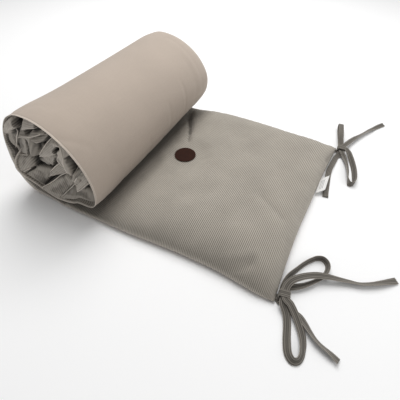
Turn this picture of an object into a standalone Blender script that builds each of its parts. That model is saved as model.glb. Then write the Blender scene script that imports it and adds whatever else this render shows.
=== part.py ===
"""Crib bumper: a filled strip of corduroy and plain cotton, rolled up from one end and lying on a table.

The strip lies with its corduroy side up. Its tied end is flat, and the rest is rolled over on itself, so
that the cotton back is the skin of the roll. Metres, +Z up, +X from the roll to the tied end, +Y across
the strip. The origin is at the bottom centre of the strip's box.
"""
import math

import bmesh
import bpy
import numpy as np
from mathutils import Matrix

MM = 0.001

# Driving sizes of the strip
WIDTH = 300 * MM                # height of the bumper when it stands in the crib
TIED_END_X = 313.7 * MM         # the tied end, in the layout in which the tables below are written
AXIS_X = 8.2 * MM               # the roll's axis, in the same layout
AXIS_Z = 70.2 * MM              # the roll's axis above the table
CENTRE_X = 128.09 * MM          # middle of the box of strip, patch and label in the layout
CENTRE_Y = 148.73 * MM          # the same across the strip, from the near seam's line
SEAM_BLEND = 24 * MM            # length over which a seam's height goes over into another
TURNS_TO_AXIS = 3.5             # turns after which the winding would reach the axis
LAST_ANGLE = 1050               # degrees of winding in the roll
ANGLE_STEP = 15                 # degrees between two sections of the roll
LAYER_GAP = 1.0 * MM            # air between two turns
SEAM_HEIGHT = 4.5 * MM          # seam above the outer skin, flat part
ROLL_SEAM_HEIGHT = 3.0 * MM     # seam inside the outer skin, roll
INNER_END_SEAM_HEIGHT = 5.0 * MM    # seam inside the outer skin at the wound-in end
EDGE_FULLNESS = 62 * MM         # distance from a long seam at which the filling is at full height
END_FULLNESS = 48 * MM          # the same from a short seam
SKIN_TURN = 34 * MM             # distance over which the outer skin turns up to its seam
EDGE_POWER = 2.2                # 2 gives a round edge, more gives a squarer one
FULL_LAYER = 21 * MM            # filled thickness where no turn lies inside
CORE_SHARE = 0.32               # the innermost skin keeps this share of its outer skin's radius
CORE_ADDED = 1.5 * MM           # and this much more
SEAM_CHANGE_ANGLE = 60          # degrees over which the flat part's seam height goes over into the roll's
BOW_REACH = 90 * MM             # how far the drawn-in shape of the tied end runs into the strip
BOW_POWER = 1.5
OUTER_END_REACH = (95 * MM, 300 * MM)   # how far the outermost turn's end shape runs in, near and far
INNER_END_REACH = (75 * MM, 75 * MM)    # the same for the turns inside it
INNER_TURNS_FROM = 285          # winding angle at which one reach begins to go over into the other
INNER_TURNS_OVER = 60           # degrees that this takes
LYING_ANGLES = (285, 375)       # winding angles of the skin that lies over the flat part

# Roll section: angle in degrees from straight down, clockwise from the near side; radius in mm
ROLL_SECTION = (
    # angle, radius
    (0, 70.6), (25, 78.2), (45, 96.5), (65, 92.5), (90, 83.0), (120, 80.0), (150, 81.5), (180, 81.2),
    (210, 79.5), (240, 79.5), (270, 85.0), (295, 92.5), (313, 95.5), (335, 79.0),
)

# Height of the flat part's top at mid width, in mm
FLAT_HEIGHT = (
    # along, height
    (8.2, 18.6), (30, 16.8), (50, 15.6), (62, 16.2), (76, 20.5), (96, 27.0), (125, 31.5), (170, 33.0),
    (230, 32.5), (280, 31.5), (322, 30.5),
)

# Plan outline of the flat part's long seams: distance from their straight lines, in mm
FLAT_EDGES = (
    # along, near, far
    (8.2, -5.5, 1.0), (30, -5.5, 2.5), (60, -4.5, 3.5), (120, -3.0, 4.0), (165, 0.0, 3.5), (206, 1.5, 2.5),
    (247, 1.0, 0.5), (272, -1.5, 0.5), (292, -3.5, 1.5), (308, -3.2, 4.0), (322, -1.5, 6.5),
)

# Long seams of the roll: how far each turn pushes out of the roll's ends, in mm
ROLL_EDGES = (
    # angle, near, far
    (0, -5.5, 1.0), (30, -3.5, 0.5), (60, -3.0, 0.5), (110, 0.0, 1.0), (300, -0.5, 0.0), (400, -5.0, 2.0),
    (540, -6.0, 3.0), (720, -7.5, 3.0), (1050, -6.0, 2.0),
)

# Turns where they leave the roll's even section, at its two ends: radial shift in mm. The inner turns
# spread there, because the thin edges leave them room.
ROLL_END_SHAPE = (
    # angle, near, far
    (0, 0.0, 0.0), (60, 0.0, 0.0), (95, 1.0, 1.5), (130, 3.0, 3.5), (155, 4.5, 2.5), (180, 2.0, -1.5),
    (210, 0.0, 0.0), (240, 0.0, 6.0), (265, 0.0, 9.0), (290, 0.5, 3.0), (310, 1.5, -6.5), (328, -1.0, -2.0),
    (345, 7.0, 3.0), (360, 11.0, 6.0), (375, 11.5, 6.0), (390, 6.0, 4.0), (405, 0.0, 2.0), (425, 3.5, 4.0),
    (445, 4.0, 6.0), (480, 2.5, 7.0), (510, 6.0, 7.0), (530, 10.0, 6.0), (552, 14.0, 6.0), (573, 9.0, 6.0),
    (592, 3.0, 6.0), (608, -5.0, 5.0), (628, -9.0, 4.0), (650, -8.0, 3.0), (672, -4.0, 2.0), (690, 0.0, 4.0),
    (710, 11.0, 9.0), (735, 16.0, 10.0), (755, 15.0, 9.0), (780, 9.0, 8.0), (810, 7.0, 7.0), (850, 8.0, 6.0),
    (895, 13.0, 6.0), (930, 8.0, 4.0), (965, 3.0, 2.0), (1000, 1.0, 1.0), (1050, 0.0, 0.0),
)

# Short seam at the tied end, drawn in between its corners: shift and height in mm, by share of the width
END_SEAM = (
    # across, shift, height
    (0.0, 0.5, 3.2), (0.08, -0.4, 3.2), (0.23, -1.2, 3.2), (0.38, -0.6, 3.2), (0.52, 1.8, 3.2),
    (0.67, 4.2, 3.4),
    (0.77, 6.0, 3.8), (0.86, 8.4, 4.6),
    (0.94, 10.6, 5.4), (1.0, 12.0, 6.0),
)

# Soft folds in the flat part's top, straight troughs from one point to another, in mm
TOP_FOLDS = (
    # x0, y0, x1, y1, half_width, depth
    (116, 166, 94, 212, 8.0, 4.0),
    (94, 212, 76, 262, 9.0, 5.0),
    (250, 14, 285, 30, 9.0, 2.5),
    (252, 122, 290, 98, 11.0, 2.0),
    (292, 262, 322, 300, 10.0, 5.0),
    (78, 20, 86, 120, 9.0, 2.0),
)

# Where the skins are pinched at the roll's ends: angle of each pinch and share of the height it takes
ROLL_PINCHES = (
    # angle, share
    (30, 0.30), (75, 0.45), (120, 0.25), (165, 0.50), (210, 0.35), (255, 0.50), (300, 0.40), (345, 0.45),
    (390, 0.55), (435, 0.40), (465, 0.50), (510, 0.45), (555, 0.55), (600, 0.40), (645, 0.50), (690, 0.45),
    (735, 0.50), (795, 0.45), (855, 0.50), (915, 0.40), (975, 0.45),
)
PINCH_REACH = 55 * MM           # how far a pinch runs in from the roll's end

# Columns across the strip, as a share of its width
COLUMNS = (0.0, 0.012, 0.04, 0.085, 0.145, 0.22, 0.31, 0.395, 0.45, 0.505, 0.56, 0.63, 0.71, 0.79, 0.86,
           0.915, 0.96, 0.988, 1.0)
FLAT_STATIONS = (0, 3, 9, 18, 29, 41, 53, 65, 77, 89, 101, 113, 125, 137, 149, 161, 170, 178, 186, 194,
                 202, 210, 219, 228, 237, 247, 258, 270, 282, 294)   # mm back from the tied end

# Leather patch
PATCH_RADIUS = 16.2 * MM
PATCH_THICKNESS = 1.6 * MM
PATCH_BEVEL = 0.5 * MM
PATCH_GAP = 0.65 * MM           # between the patch and its seat
PATCH_AT = (119 * MM, 146 * MM)
DIMPLE_SEAT = 22 * MM           # level seat of the patch
DIMPLE_REACH = 46 * MM          # the dimple runs out here
SEAT_HEIGHT = 27.5 * MM

# Care label in the end seam: a folded tape that stands out a little upwards and to the far side
LABEL_WIDTH = 34 * MM
LABEL_THICKNESS = 0.9 * MM
LABEL_Y = 202 * MM              # middle of its root
LABEL_PROFILE = (
    # x, shift across, height of the middle
    (319.6, 0.0, 4.8), (321.8, 1.6, 6.0), (324.2, 3.6, 7.1), (326.7, 6.0, 7.8), (329.0, 8.6, 8.2),
)

# Ties: flat strips, each sewn into a corner of the tied end and knotted in a bow with its pair
TIE_WIDTH = 8.4 * MM
TIE_THICKNESS = 1.7 * MM
TIE_SHOULDER = 0.6 * MM         # width of the slim edge on each side
TIE_STEP = 4.5 * MM
NEAR_CORNER = (314.2 * MM, -1.5 * MM)
FAR_CORNER = (325.7 * MM, 306 * MM)

# Routes, in mm from the corner. Lift is the height of the strip's lowest edge over the table, lean is how
# far the strip stands up on its edge, in degrees.
NEAR_LOOP_TIE = (
    # x, y, lift, lean
    (1.6, 1.2, 0.4, 0), (4.6, 6.0, 0.4, 0), (5.6, 12.0, 0.4, 0), (5.0, 18.6, 0.4, 2), (4.4, 26.0, 0.4, 34),
    (5.8, 35.7, 0.4, 56), (11.3, 47.4, 0.4, 64), (17.5, 59.2, 0.4, 67), (24.4, 69.3, 0.4, 69),
    (30.1, 75.2, 0.4, 70),
    (36.6, 77.5, 0.4, 70), (41.8, 74.8, 0.4, 68), (44.6, 69.0, 0.4, 60), (44.0, 60.6, 0.4, 48),
    (40.1, 51.4, 0.4, 34), (32.8, 41.8, 0.6, 20), (25.0, 33.4, 1.8, 6), (16.8, 26.6, 3.6, 0),
    (9.6, 21.6, 4.3, 0), (6.5, 16.2, 4.35, 0), (7.4, 10.3, 4.35, 0), (8.6, 4.4, 4.35, 0),
    (11.4, -0.8, 2.8, 0),
    (16.4, -2.8, 1.2, 0), (22.6, -2.6, 0.4, 0), (29.2, -3.8, 0.4, 0), (36.2, -8.8, 0.4, 8),
    (42.8, -14.8, 0.4, 16),
    (49.5, -19.9, 0.4, 26), (55.8, -23.0, 0.4, 30), (62.0, -24.9, 0.4, 26), (68.2, -27.0, 0.4, 14),
    (74.5, -29.6, 0.4, 6),
)
NEAR_WRAP_TIE = (
    # x, y, lift, lean
    (7.0, 12.4, 6.45, 0), (8.3, 5.2, 6.45, 0), (9.6, -1.2, 5.6, 0), (11.5, -3.2, 4.6, 0),
    (15.7, -8.2, 2.8, 0), (18.8, -14.8, 1.4, 0), (21.2, -22.6, 0.6, 0), (23.1, -30.2, 0.4, 4),
    (25.1, -37.1, 0.4, 12), (27.3, -43.2, 0.4, 24), (30.5, -47.8, 0.4, 36), (34.6, -49.9, 0.4, 42),
    (38.4, -48.3, 0.4, 44), (40.6, -43.3, 0.4, 42), (40.5, -36.0, 0.4, 34), (39.0, -28.1, 0.6, 22),
    (36.0, -20.8, 1.4, 10), (32.1, -14.5, 2.6, 2), (27.2, -8.2, 4.2, 0), (21.4, -2.2, 6.0, 0),
    (16.1, 2.1, 8.0, 0), (10.4, 5.0, 8.8, 0), (7.4, 10.8, 8.8, 0), (6.6, 16.8, 9.6, 0),
    (8.9, 25.4, 11.6, 0), (16.9, 35.0, 12.2, 0), (26.1, 42.7, 11.6, 0), (36.1, 49.2, 9.8, 0),
    (46.7, 54.0, 7.2, 6), (57.6, 57.9, 4.0, 20), (70.5, 62.2, 1.2, 38), (82.0, 65.2, 0.4, 42),
    (94.3, 71.5, 0.4, 22), (107.4, 80.6, 0.4, 6), (120.4, 90.7, 0.4, 0),
)
FAR_LOOP_TIE = (
    # x, y, lift, lean
    (1.8, 0.2, 0.4, 0), (4.9, -0.8, 0.4, 0), (7.0, 2.4, 0.4, 0), (7.0, 9.0, 0.4, 0), (5.6, 18.0, 0.4, 0),
    (3.4, 30.0, 0.4, 0), (1.0, 42.0, 0.4, 0), (-1.6, 54.0, 0.6, 0), (-3.8, 64.0, 2.2, 0),
    (-4.9, 69.4, 4.8, 0), (-5.1, 70.6, 8.0, 0), (-4.6, 66.4, 11.4, 0), (-3.4, 57.0, 12.8, 0),
    (-1.6, 46.0, 12.8, 0), (0.4, 35.0, 11.8, 0), (2.2, 27.4, 9.4, 0), (4.2, 21.4, 6.4, 0),
    (5.3, 15.8, 4.6, 0), (6.8, 10.0, 4.4, 0), (7.4, 4.6, 4.35, 0), (7.8, -1.0, 4.35, 0),
    (8.3, -6.8, 4.35, 0), (7.2, -12.4, 2.6, 0), (5.6, -15.7, 1.0, 0), (3.6, -29.3, 0.4, 4),
    (2.1, -42.8, 0.4, 10), (0.9, -56.2, 0.4, 12), (1.1, -67.9, 0.4, 8), (2.3, -79.4, 0.4, 4),
    (3.7, -91.2, 0.4, 0), (4.8, -101.7, 0.4, 0), (5.8, -110.6, 0.4, 0), (7.2, -119.7, 0.4, 0),
)
FAR_WRAP_TIE = (
    # x, y, lift, lean
    (7.6, -0.8, 8.8, 0), (13.2, 0.6, 8.7, 0), (19.6, -3.7, 6.6, 8), (25.4, -13.1, 3.4, 26),
    (31.0, -25.3, 0.9, 46), (35.5, -39.8, 0.4, 52), (38.8, -54.6, 0.4, 52), (40.4, -67.5, 0.4, 50),
    (39.0, -78.8, 0.4, 46), (34.3, -79.0, 0.4, 46), (30.1, -70.4, 0.4, 50), (27.6, -57.5, 0.4, 50),
    (25.1, -41.8, 0.4, 44), (20.8, -26.0, 0.8, 26), (15.7, -15.0, 3.0, 6), (11.8, -10.6, 6.0, 0),
    (9.0, -4.8, 6.5, 0), (8.1, 1.0, 6.5, 0), (9.6, 7.6, 6.9, 0), (13.2, 15.0, 7.4, 0), (16.8, 25.4, 6.4, 2),
    (20.8, 36.7, 5.0, 10), (26.2, 49.6, 3.0, 26), (32.5, 62.4, 1.0, 38), (38.6, 74.1, 0.4, 44),
    (45.5, 86.9, 0.4, 30), (52.7, 99.2, 0.4, 12), (60.1, 110.4, 0.4, 0), (67.2, 120.1, 0.4, 0),
)
WRAP_OPENING = (5.2 * MM, 3.1 * MM)    # half width and half height inside the wrap
WRAP_THICKNESS = 1.5 * MM
WRAP_HEIGHT = 7.05 * MM                 # middle of the wrap over the table
WRAP_SIDES = 16
WRAP_POWER = 6                          # 2 gives an ellipse, more gives a squarer wrap
NEAR_WRAP = (7.4, 10.3, 100)            # x, y in mm from the corner, heading of its axis in degrees
FAR_WRAP = (7.8, -1.0, 96)
ROOT_START = (1.6 * MM, 0.6 * MM)       # from the corner
ROOT_HALF_WIDTHS = (1.1 * MM, 3.4 * MM)  # at the corner and in the wrap
ROOT_THICKNESS = 1.2 * MM


def clear_scene():
    """Remove every object that the file opened with."""
    for thing in list(bpy.data.objects):
        bpy.data.objects.remove(thing, do_unlink=True)


def fabric(name, colour, roughness):
    """A plain material of one colour."""
    material = bpy.data.materials.new(name)
    material.use_nodes = True
    shader = material.node_tree.nodes["Principled BSDF"]
    shader.inputs["Base Color"].default_value = (*colour, 1.0)
    shader.inputs["Roughness"].default_value = roughness
    shader.inputs["Metallic"].default_value = 0.0
    material.diffuse_color = (*colour, 1.0)
    return material


def add_mesh(name, points, faces, material, smooth=True):
    """A new object from points in the strip's own layout, moved so that the box centre is the origin."""
    mesh = bpy.data.meshes.new(name)
    moved = np.asarray(points, float) - np.array((CENTRE_X, CENTRE_Y, 0.0))
    mesh.from_pydata(moved.tolist(), [], [list(map(int, face)) for face in faces])
    mesh.materials.append(material)
    if smooth:
        mesh.shade_smooth()
        mesh.set_sharp_from_angle(angle=math.radians(50))
    thing = bpy.data.objects.new(name, mesh)
    bpy.context.scene.collection.objects.link(thing)
    return thing


def smooth_curve(at, knots, values):
    """Smooth curve through (knots, values) read at the places `at`: cubic pieces whose slope at a knot is
    the slope between its two neighbours."""
    knots = np.asarray(knots, float)
    values = np.asarray(values, float)
    slopes = np.gradient(values, knots, axis=0)
    at = np.clip(np.asarray(at, float), knots[0], knots[-1])
    left = np.clip(np.searchsorted(knots, at, side="right") - 1, 0, len(knots) - 2)
    span = knots[left + 1] - knots[left]
    share = (at - knots[left]) / span
    if values.ndim == 2:
        share = share[:, None]
        span = span[:, None]
    rise = values[left + 1] - values[left]
    bend_in = slopes[left] * span - rise
    bend_out = rise - slopes[left + 1] * span
    easing = bend_in * (1 - share) + bend_out * share
    return values[left] + share * rise + share * (1 - share) * easing


def column(table, index):
    """One column of a table as an array."""
    return np.array([row[index] for row in table], float)


def section_radius(angle):
    """Distance from the roll's axis to the outer skin: the roll's section, shrinking evenly to its axis."""
    angles = column(ROLL_SECTION, 0)
    radii = column(ROLL_SECTION, 1)
    wrapped_angles = np.concatenate([angles[-3:] - 360, angles, angles[:3] + 360])
    wrapped_radii = np.concatenate([radii[-3:], radii, radii[:3]])
    full = smooth_curve(np.mod(angle, 360), wrapped_angles, wrapped_radii) * MM
    return full * (1 - np.asarray(angle, float) / (360 * TURNS_TO_AXIS))


def roll_point(angle, radius):
    """Point of the roll's section, never under the table: its skin lies flat where it rests."""
    turned = np.radians(angle)
    x = AXIS_X - radius * np.sin(turned)
    z = AXIS_Z - radius * np.cos(turned)
    return np.stack([x, np.maximum(z, 0.0)], axis=-1)


def inner_radius(angle):
    """Distance from the roll's axis to the inner skin: the next turn's outer skin and a little air, or a
    full layer where no turn follows."""
    following = section_radius(angle + 360) + LAYER_GAP
    layer = section_radius(angle) * CORE_SHARE + CORE_ADDED
    no_turn = angle + 360 > LAST_ANGLE
    core = np.maximum(layer, section_radius(angle) - FULL_LAYER)
    return np.where(no_turn, core, following)


def rounded(distance, reach):
    """Share of the full height at a distance from a seam: a round edge that ends at `reach`."""
    share = np.clip(distance / reach, 0, 1)
    return (1 - (1 - share) ** EDGE_POWER) ** (1 / EDGE_POWER)


def turned_up(distance, reach):
    """Share of the seam's height that the outer skin has at a distance from the seam."""
    return np.clip(1 - distance / reach, 0, 1) ** 2


def fold_depth(x, y):
    """Depth of the soft folds at points of the flat part's top."""
    depth = np.zeros_like(x)
    for x0, y0, x1, y1, half_width, deep in TOP_FOLDS:
        start = np.array((x0, y0)) * MM
        run = np.array((x1, y1)) * MM - start
        share = ((x - start[0]) * run[0] + (y - start[1]) * run[1]) / (run @ run)
        share = np.clip(share, 0, 1)
        away = np.hypot(x - start[0] - share * run[0], y - start[1] - share * run[1])
        depth = np.maximum(depth, deep * MM * np.exp(-(away / (half_width * MM)) ** 2))
    return depth


def dimpled(x, y, height):
    """Top height with the dimple in which the patch is sewn down: level at its seat, smooth outside."""
    away = np.hypot(x - PATCH_AT[0], y - PATCH_AT[1])
    share = np.clip((away - DIMPLE_SEAT) / (DIMPLE_REACH - DIMPLE_SEAT), 0, 1)
    blend = share * share * (3 - 2 * share)
    return SEAT_HEIGHT + (height - SEAT_HEIGHT) * blend


def station_angles():
    """Winding angle of every station, below zero on the flat part."""
    count = len(FLAT_STATIONS) + LAST_ANGLE // ANGLE_STEP + 1
    return ANGLE_STEP * (np.arange(count, dtype=float) - len(FLAT_STATIONS))


def strip_sections():
    """Mid-width section of the strip: outer and inner skin points (x, z), the seam's height over the outer
    skin, and the two long seams' y, for every station from the tied end to the inner end."""
    flat_x = TIED_END_X - np.array(FLAT_STATIONS, float) * MM
    flat_top = smooth_curve(flat_x, column(FLAT_HEIGHT, 0) * MM, column(FLAT_HEIGHT, 1) * MM)
    angle = station_angles()[len(FLAT_STATIONS):]
    flat_outer = np.stack([flat_x, np.zeros_like(flat_x)], axis=-1)
    flat_inner = np.stack([flat_x, flat_top], axis=-1)
    outer = np.vstack([flat_outer, roll_point(angle, section_radius(angle))])
    inner = np.vstack([flat_inner, roll_point(angle, inner_radius(angle))])
    flat_edges = smooth_curve(flat_x, column(FLAT_EDGES, 0) * MM, np.array(FLAT_EDGES)[:, 1:] * MM)
    roll_edges = smooth_curve(angle, column(ROLL_EDGES, 0), np.array(ROLL_EDGES)[:, 1:] * MM)
    edges = np.vstack([flat_edges, roll_edges])
    near = edges[:, 0]
    far = WIDTH + edges[:, 1]
    pinch = np.zeros(len(angle))
    for pinch_angle, share in ROLL_PINCHES:
        pinch[angle == pinch_angle] = share
    pinch = np.concatenate([np.zeros(len(flat_x)), pinch])
    blend = np.concatenate([np.zeros(len(flat_x)), np.clip(angle / SEAM_CHANGE_ANGLE, 0, 1)])
    seam = SEAM_HEIGHT + (ROLL_SEAM_HEIGHT - SEAM_HEIGHT) * blend
    return outer, inner, seam, near, far, pinch


def seam_heights(seam, along, share):
    """Height of the seams over the outer skin, going over into that of the two short seams."""
    tied = smooth_curve(share[0], column(END_SEAM, 0), column(END_SEAM, 2) * MM)[None, :]
    to_tied = np.clip(1 - along / SEAM_BLEND, 0, 1)[:, None]
    to_inner = np.clip(1 - (along[-1] - along) / SEAM_BLEND, 0, 1)[:, None]
    heights = seam[:, None] * (1 - to_tied) + tied * to_tied
    return heights * (1 - to_inner) + INNER_END_SEAM_HEIGHT * to_inner


def roll_end_shape(share):
    """How far each turn stands out of the roll's even section towards the roll's two ends."""
    angle = station_angles()
    shape = smooth_curve(angle, column(ROLL_END_SHAPE, 0), np.array(ROLL_END_SHAPE)[:, 1:] * MM)
    inner_turn = np.clip((angle - INNER_TURNS_FROM) / INNER_TURNS_OVER, 0, 1)
    shift = np.zeros((len(angle), share.shape[1]))
    for end, distance in enumerate((share * WIDTH, (1 - share) * WIDTH)):
        reach = OUTER_END_REACH[end] + (INNER_END_REACH[end] - OUTER_END_REACH[end]) * inner_turn
        fade = np.clip(1 - distance / reach[:, None], 0, 1) ** 2
        shift += shape[:, end][:, None] * fade
    return shift


def room_under_roll(outer, x):
    """Height that the flat part's top may reach at `x`: a little under the turn that lies on it."""
    angle = station_angles()
    over = (angle >= LYING_ANGLES[0]) & (angle <= LYING_ANGLES[1])
    limit = np.full(x.shape, np.inf)
    for place in range(x.shape[1]):
        over_x = outer[over, place, 0][::-1]
        over_z = outer[over, place, 2][::-1]
        limit[:, place] = np.interp(x[:, place], over_x, over_z - LAYER_GAP, left=np.inf, right=np.inf)
    limit[angle >= 0] = np.inf
    return limit


def strip_skins():
    """Both skins of the strip as grids of points, stations by columns, which meet at all four seams."""
    outer, inner, seam, near, far, pinch = strip_sections()
    share = np.array(COLUMNS)[None, :]
    y = near[:, None] + (far - near)[:, None] * share
    from_edge = np.minimum(share, 1 - share) * WIDTH
    step = np.hypot(*np.diff(outer, axis=0).T)
    along = np.concatenate([[0], np.cumsum(step)])
    from_end = np.minimum(along, along[-1] - along)[:, None]
    fullness = rounded(from_edge, EDGE_FULLNESS) * rounded(from_end, END_FULLNESS)
    pinched = 1 - pinch[:, None] * np.clip(1 - from_edge / PINCH_REACH, 0, 1)
    up = 1 - (1 - turned_up(from_edge, SKIN_TURN)) * (1 - turned_up(from_end, SKIN_TURN))
    inward = inner - outer
    inward = inward / np.linalg.norm(inward, axis=1, keepdims=True)
    height = np.linalg.norm(inner - outer, axis=1)[:, None]
    shift = roll_end_shape(share)
    per_turn = 360 // ANGLE_STEP
    next_shift = np.zeros_like(shift)
    next_shift[len(FLAT_STATIONS):-per_turn] = shift[len(FLAT_STATIONS) + per_turn:]
    outer_rise = seam_heights(seam, along, share) * up - shift
    seam_rise = seam_heights(seam, along, share) - shift
    inner_rise = seam_rise + (height - next_shift - seam_rise) * fullness * pinched
    end_bow = smooth_curve(share[0], column(END_SEAM, 0), column(END_SEAM, 1) * MM)[None, :]
    bow = end_bow * np.clip(1 - along / BOW_REACH, 0, 1)[:, None] ** BOW_POWER
    x = outer[:, 0][:, None] + bow
    flat = (along <= TIED_END_X - AXIS_X)[:, None]
    lowered = fold_depth(x, y) * fullness
    shaped = dimpled(x, y, inner_rise - lowered)
    inner_rise = np.where(flat, np.maximum(shaped, outer_rise), inner_rise)
    grids = []
    for rise in (outer_rise, inner_rise):
        grid_x = x + inward[:, 0][:, None] * rise
        grid_z = outer[:, 1][:, None] + inward[:, 1][:, None] * rise
        grids.append(np.stack([grid_x, y, grid_z], axis=-1))
    outer_grid, inner_grid = grids
    room = room_under_roll(outer_grid, inner_grid[..., 0])
    inner_grid[..., 2] = np.minimum(inner_grid[..., 2], room)
    return outer_grid, inner_grid


def closed_strip(outer, inner):
    """Points and faces of one closed body from two grids that share their rims."""
    stations, columns = outer.shape[:2]
    outer_index = np.arange(stations * columns).reshape(stations, columns)
    inner_index = outer_index.copy()
    inside = (slice(1, -1), slice(1, -1))
    count = (stations - 2) * (columns - 2)
    inner_index[inside] = stations * columns + np.arange(count).reshape(stations - 2, columns - 2)
    points = np.vstack([outer.reshape(-1, 3), inner[inside].reshape(-1, 3)])

    def quads(index, forward):
        corners = [index[:-1, :-1], index[:-1, 1:], index[1:, 1:], index[1:, :-1]]
        if not forward:
            corners.reverse()
        return np.stack(corners, axis=-1).reshape(-1, 4)

    faces = np.vstack([quads(outer_index, False), quads(inner_index, True)])
    return points, faces


def build_strip(material):
    """The filled strip, one body."""
    outer, inner = strip_skins()
    points, faces = closed_strip(outer, inner)
    return add_mesh("bumper_pad", points, faces, material)


def build_patch(material):
    """The round leather patch, a disc with a rounded rim."""
    shape = bmesh.new()
    base = SEAT_HEIGHT + PATCH_GAP
    middle = (PATCH_AT[0] - CENTRE_X, PATCH_AT[1] - CENTRE_Y, base + PATCH_THICKNESS / 2)
    bmesh.ops.create_cone(shape, cap_ends=True, segments=40, radius1=PATCH_RADIUS, radius2=PATCH_RADIUS,
                          depth=PATCH_THICKNESS, matrix=Matrix.Translation(middle))
    top = base + PATCH_THICKNESS
    rim = [edge for edge in shape.edges if all(abs(v.co.z - top) < 1e-6 for v in edge.verts)]
    bmesh.ops.bevel(shape, geom=rim, offset=PATCH_BEVEL, segments=2, profile=0.5, affect="EDGES")
    mesh = bpy.data.meshes.new("leather_patch")
    shape.to_mesh(mesh)
    shape.free()
    mesh.materials.append(material)
    mesh.shade_smooth()
    mesh.set_sharp_from_angle(angle=math.radians(50))
    thing = bpy.data.objects.new("leather_patch", mesh)
    bpy.context.scene.collection.objects.link(thing)
    return thing


def build_label(material):
    """The care label: a slab of folded tape carried along its profile from the end seam outwards."""
    points = []
    for side in (-0.5, 0.5):
        for x, shift, height in LABEL_PROFILE:
            y = LABEL_Y + side * LABEL_WIDTH + shift * MM
            points.append((x * MM, y, height * MM - LABEL_THICKNESS / 2))
            points.append((x * MM, y, height * MM + LABEL_THICKNESS / 2))
    near = np.arange(len(points) // 2).reshape(-1, 2)
    far = near + len(points) // 2
    faces = []
    for row in range(len(near) - 1):
        faces.append((near[row, 0], far[row, 0], far[row + 1, 0], near[row + 1, 0]))
        faces.append((near[row, 1], near[row + 1, 1], far[row + 1, 1], far[row, 1]))
        faces.append((near[row, 0], near[row + 1, 0], near[row + 1, 1], near[row, 1]))
        faces.append((far[row, 0], far[row, 1], far[row + 1, 1], far[row + 1, 0]))
    faces.append((near[0, 0], near[0, 1], far[0, 1], far[0, 0]))
    faces.append((near[-1, 0], far[-1, 0], far[-1, 1], near[-1, 1]))
    return add_mesh("care_label", points, faces, material)


def band(middle, across, normal, thickness, closed=False):
    """Points and faces of a flat strip with slim edges, carried along `middle`."""
    half = TIE_WIDTH / 2
    shoulder = half - TIE_SHOULDER
    rise = thickness / 2
    outline = (
        (-half, 0), (-shoulder, -rise), (shoulder, -rise),
        (half, 0), (shoulder, rise), (-shoulder, rise),
    )
    rings = [middle + across * wide + normal * high for wide, high in outline]
    points = np.stack(rings, axis=1)
    count, sides = points.shape[:2]
    index = np.arange(count * sides).reshape(count, sides)
    following = np.roll(index, -1, axis=0) if closed else index[1:]
    leading = index if closed else index[:-1]
    faces = []
    for side in range(sides):
        after = (side + 1) % sides
        quads = [leading[:, side], leading[:, after], following[:, after], following[:, side]]
        faces.extend(np.stack(quads, axis=-1).tolist())
    if not closed:
        faces.append(index[0][::-1].tolist())
        faces.append(index[-1].tolist())
    return points.reshape(-1, 3), faces


def route_frames(corner, route):
    """Middle line, width direction and face direction of a tie, read every few millimetres from a smooth
    curve through its route's points."""
    rows = np.array(route, float)
    lean = np.radians(rows[:, 3])
    half_height = TIE_WIDTH / 2 * np.sin(lean) + TIE_THICKNESS / 2 * np.cos(lean)
    knots = np.stack([corner[0] + rows[:, 0] * MM, corner[1] + rows[:, 1] * MM,
                      rows[:, 2] * MM + half_height, lean], axis=-1)
    chord = np.concatenate([[0], np.cumsum(np.linalg.norm(np.diff(knots[:, :3], axis=0), axis=1))])
    count = int(round(chord[-1] / TIE_STEP)) + 1
    line = smooth_curve(np.linspace(0, chord[-1], count), chord, knots)
    middle = line[:, :3]
    tangent = np.gradient(middle, axis=0)
    tangent /= np.linalg.norm(tangent, axis=1, keepdims=True)
    level = np.cross((0.0, 0.0, 1.0), tangent)
    for row in range(1, count):
        if np.linalg.norm(level[row]) < 0.2:
            level[row] = level[row - 1]
        if level[row] @ level[row - 1] < 0:
            level[row] = -level[row]
    level /= np.linalg.norm(level, axis=1, keepdims=True)
    upright = np.cross(tangent, level)
    upright *= np.sign(upright[0, 2])
    angle = line[:, 3][:, None]
    across = level * np.cos(angle) + upright * np.sin(angle)
    normal = np.cross(tangent, across)
    return middle, across, normal


def wrap_frames(corner, place):
    """Middle line and directions of the wrap: a rounded rectangle that stands across its own axis."""
    x, y, heading = place
    turned = math.radians(heading)
    axis = np.array((math.cos(turned), math.sin(turned), 0.0))
    side = np.array((-axis[1], axis[0], 0.0))
    middle = np.array((corner[0] + x * MM, corner[1] + y * MM, WRAP_HEIGHT))
    half_width = WRAP_OPENING[0] + WRAP_THICKNESS / 2
    half_height = WRAP_OPENING[1] + WRAP_THICKNESS / 2
    angle = np.linspace(0, 2 * math.pi, WRAP_SIDES, endpoint=False) + math.pi / WRAP_SIDES
    bulge = (np.abs(np.cos(angle)) ** WRAP_POWER + np.abs(np.sin(angle)) ** WRAP_POWER) ** (-1 / WRAP_POWER)
    wide = half_width * np.cos(angle) * bulge
    high = half_height * np.sin(angle) * bulge
    line = middle + wide[:, None] * side + high[:, None] * np.array((0.0, 0.0, 1.0))
    tangent = np.roll(line, -1, axis=0) - np.roll(line, 1, axis=0)
    tangent /= np.linalg.norm(tangent, axis=1, keepdims=True)
    across = np.repeat(axis[None, :], len(line), axis=0)
    return line, across, np.cross(tangent, across)


def join_bodies(base, others):
    """Unite other bodies with the base, and keep the result as the base's own mesh."""
    for other in others:
        union = base.modifiers.new("union", "BOOLEAN")
        union.operation = "UNION"
        union.solver = "EXACT"
        union.object = other
    graph = bpy.context.evaluated_depsgraph_get()
    joined = bpy.data.meshes.new_from_object(base.evaluated_get(graph))
    base.modifiers.clear()
    base.data = joined
    for other in others:
        bpy.data.objects.remove(other, do_unlink=True)
    return base


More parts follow.
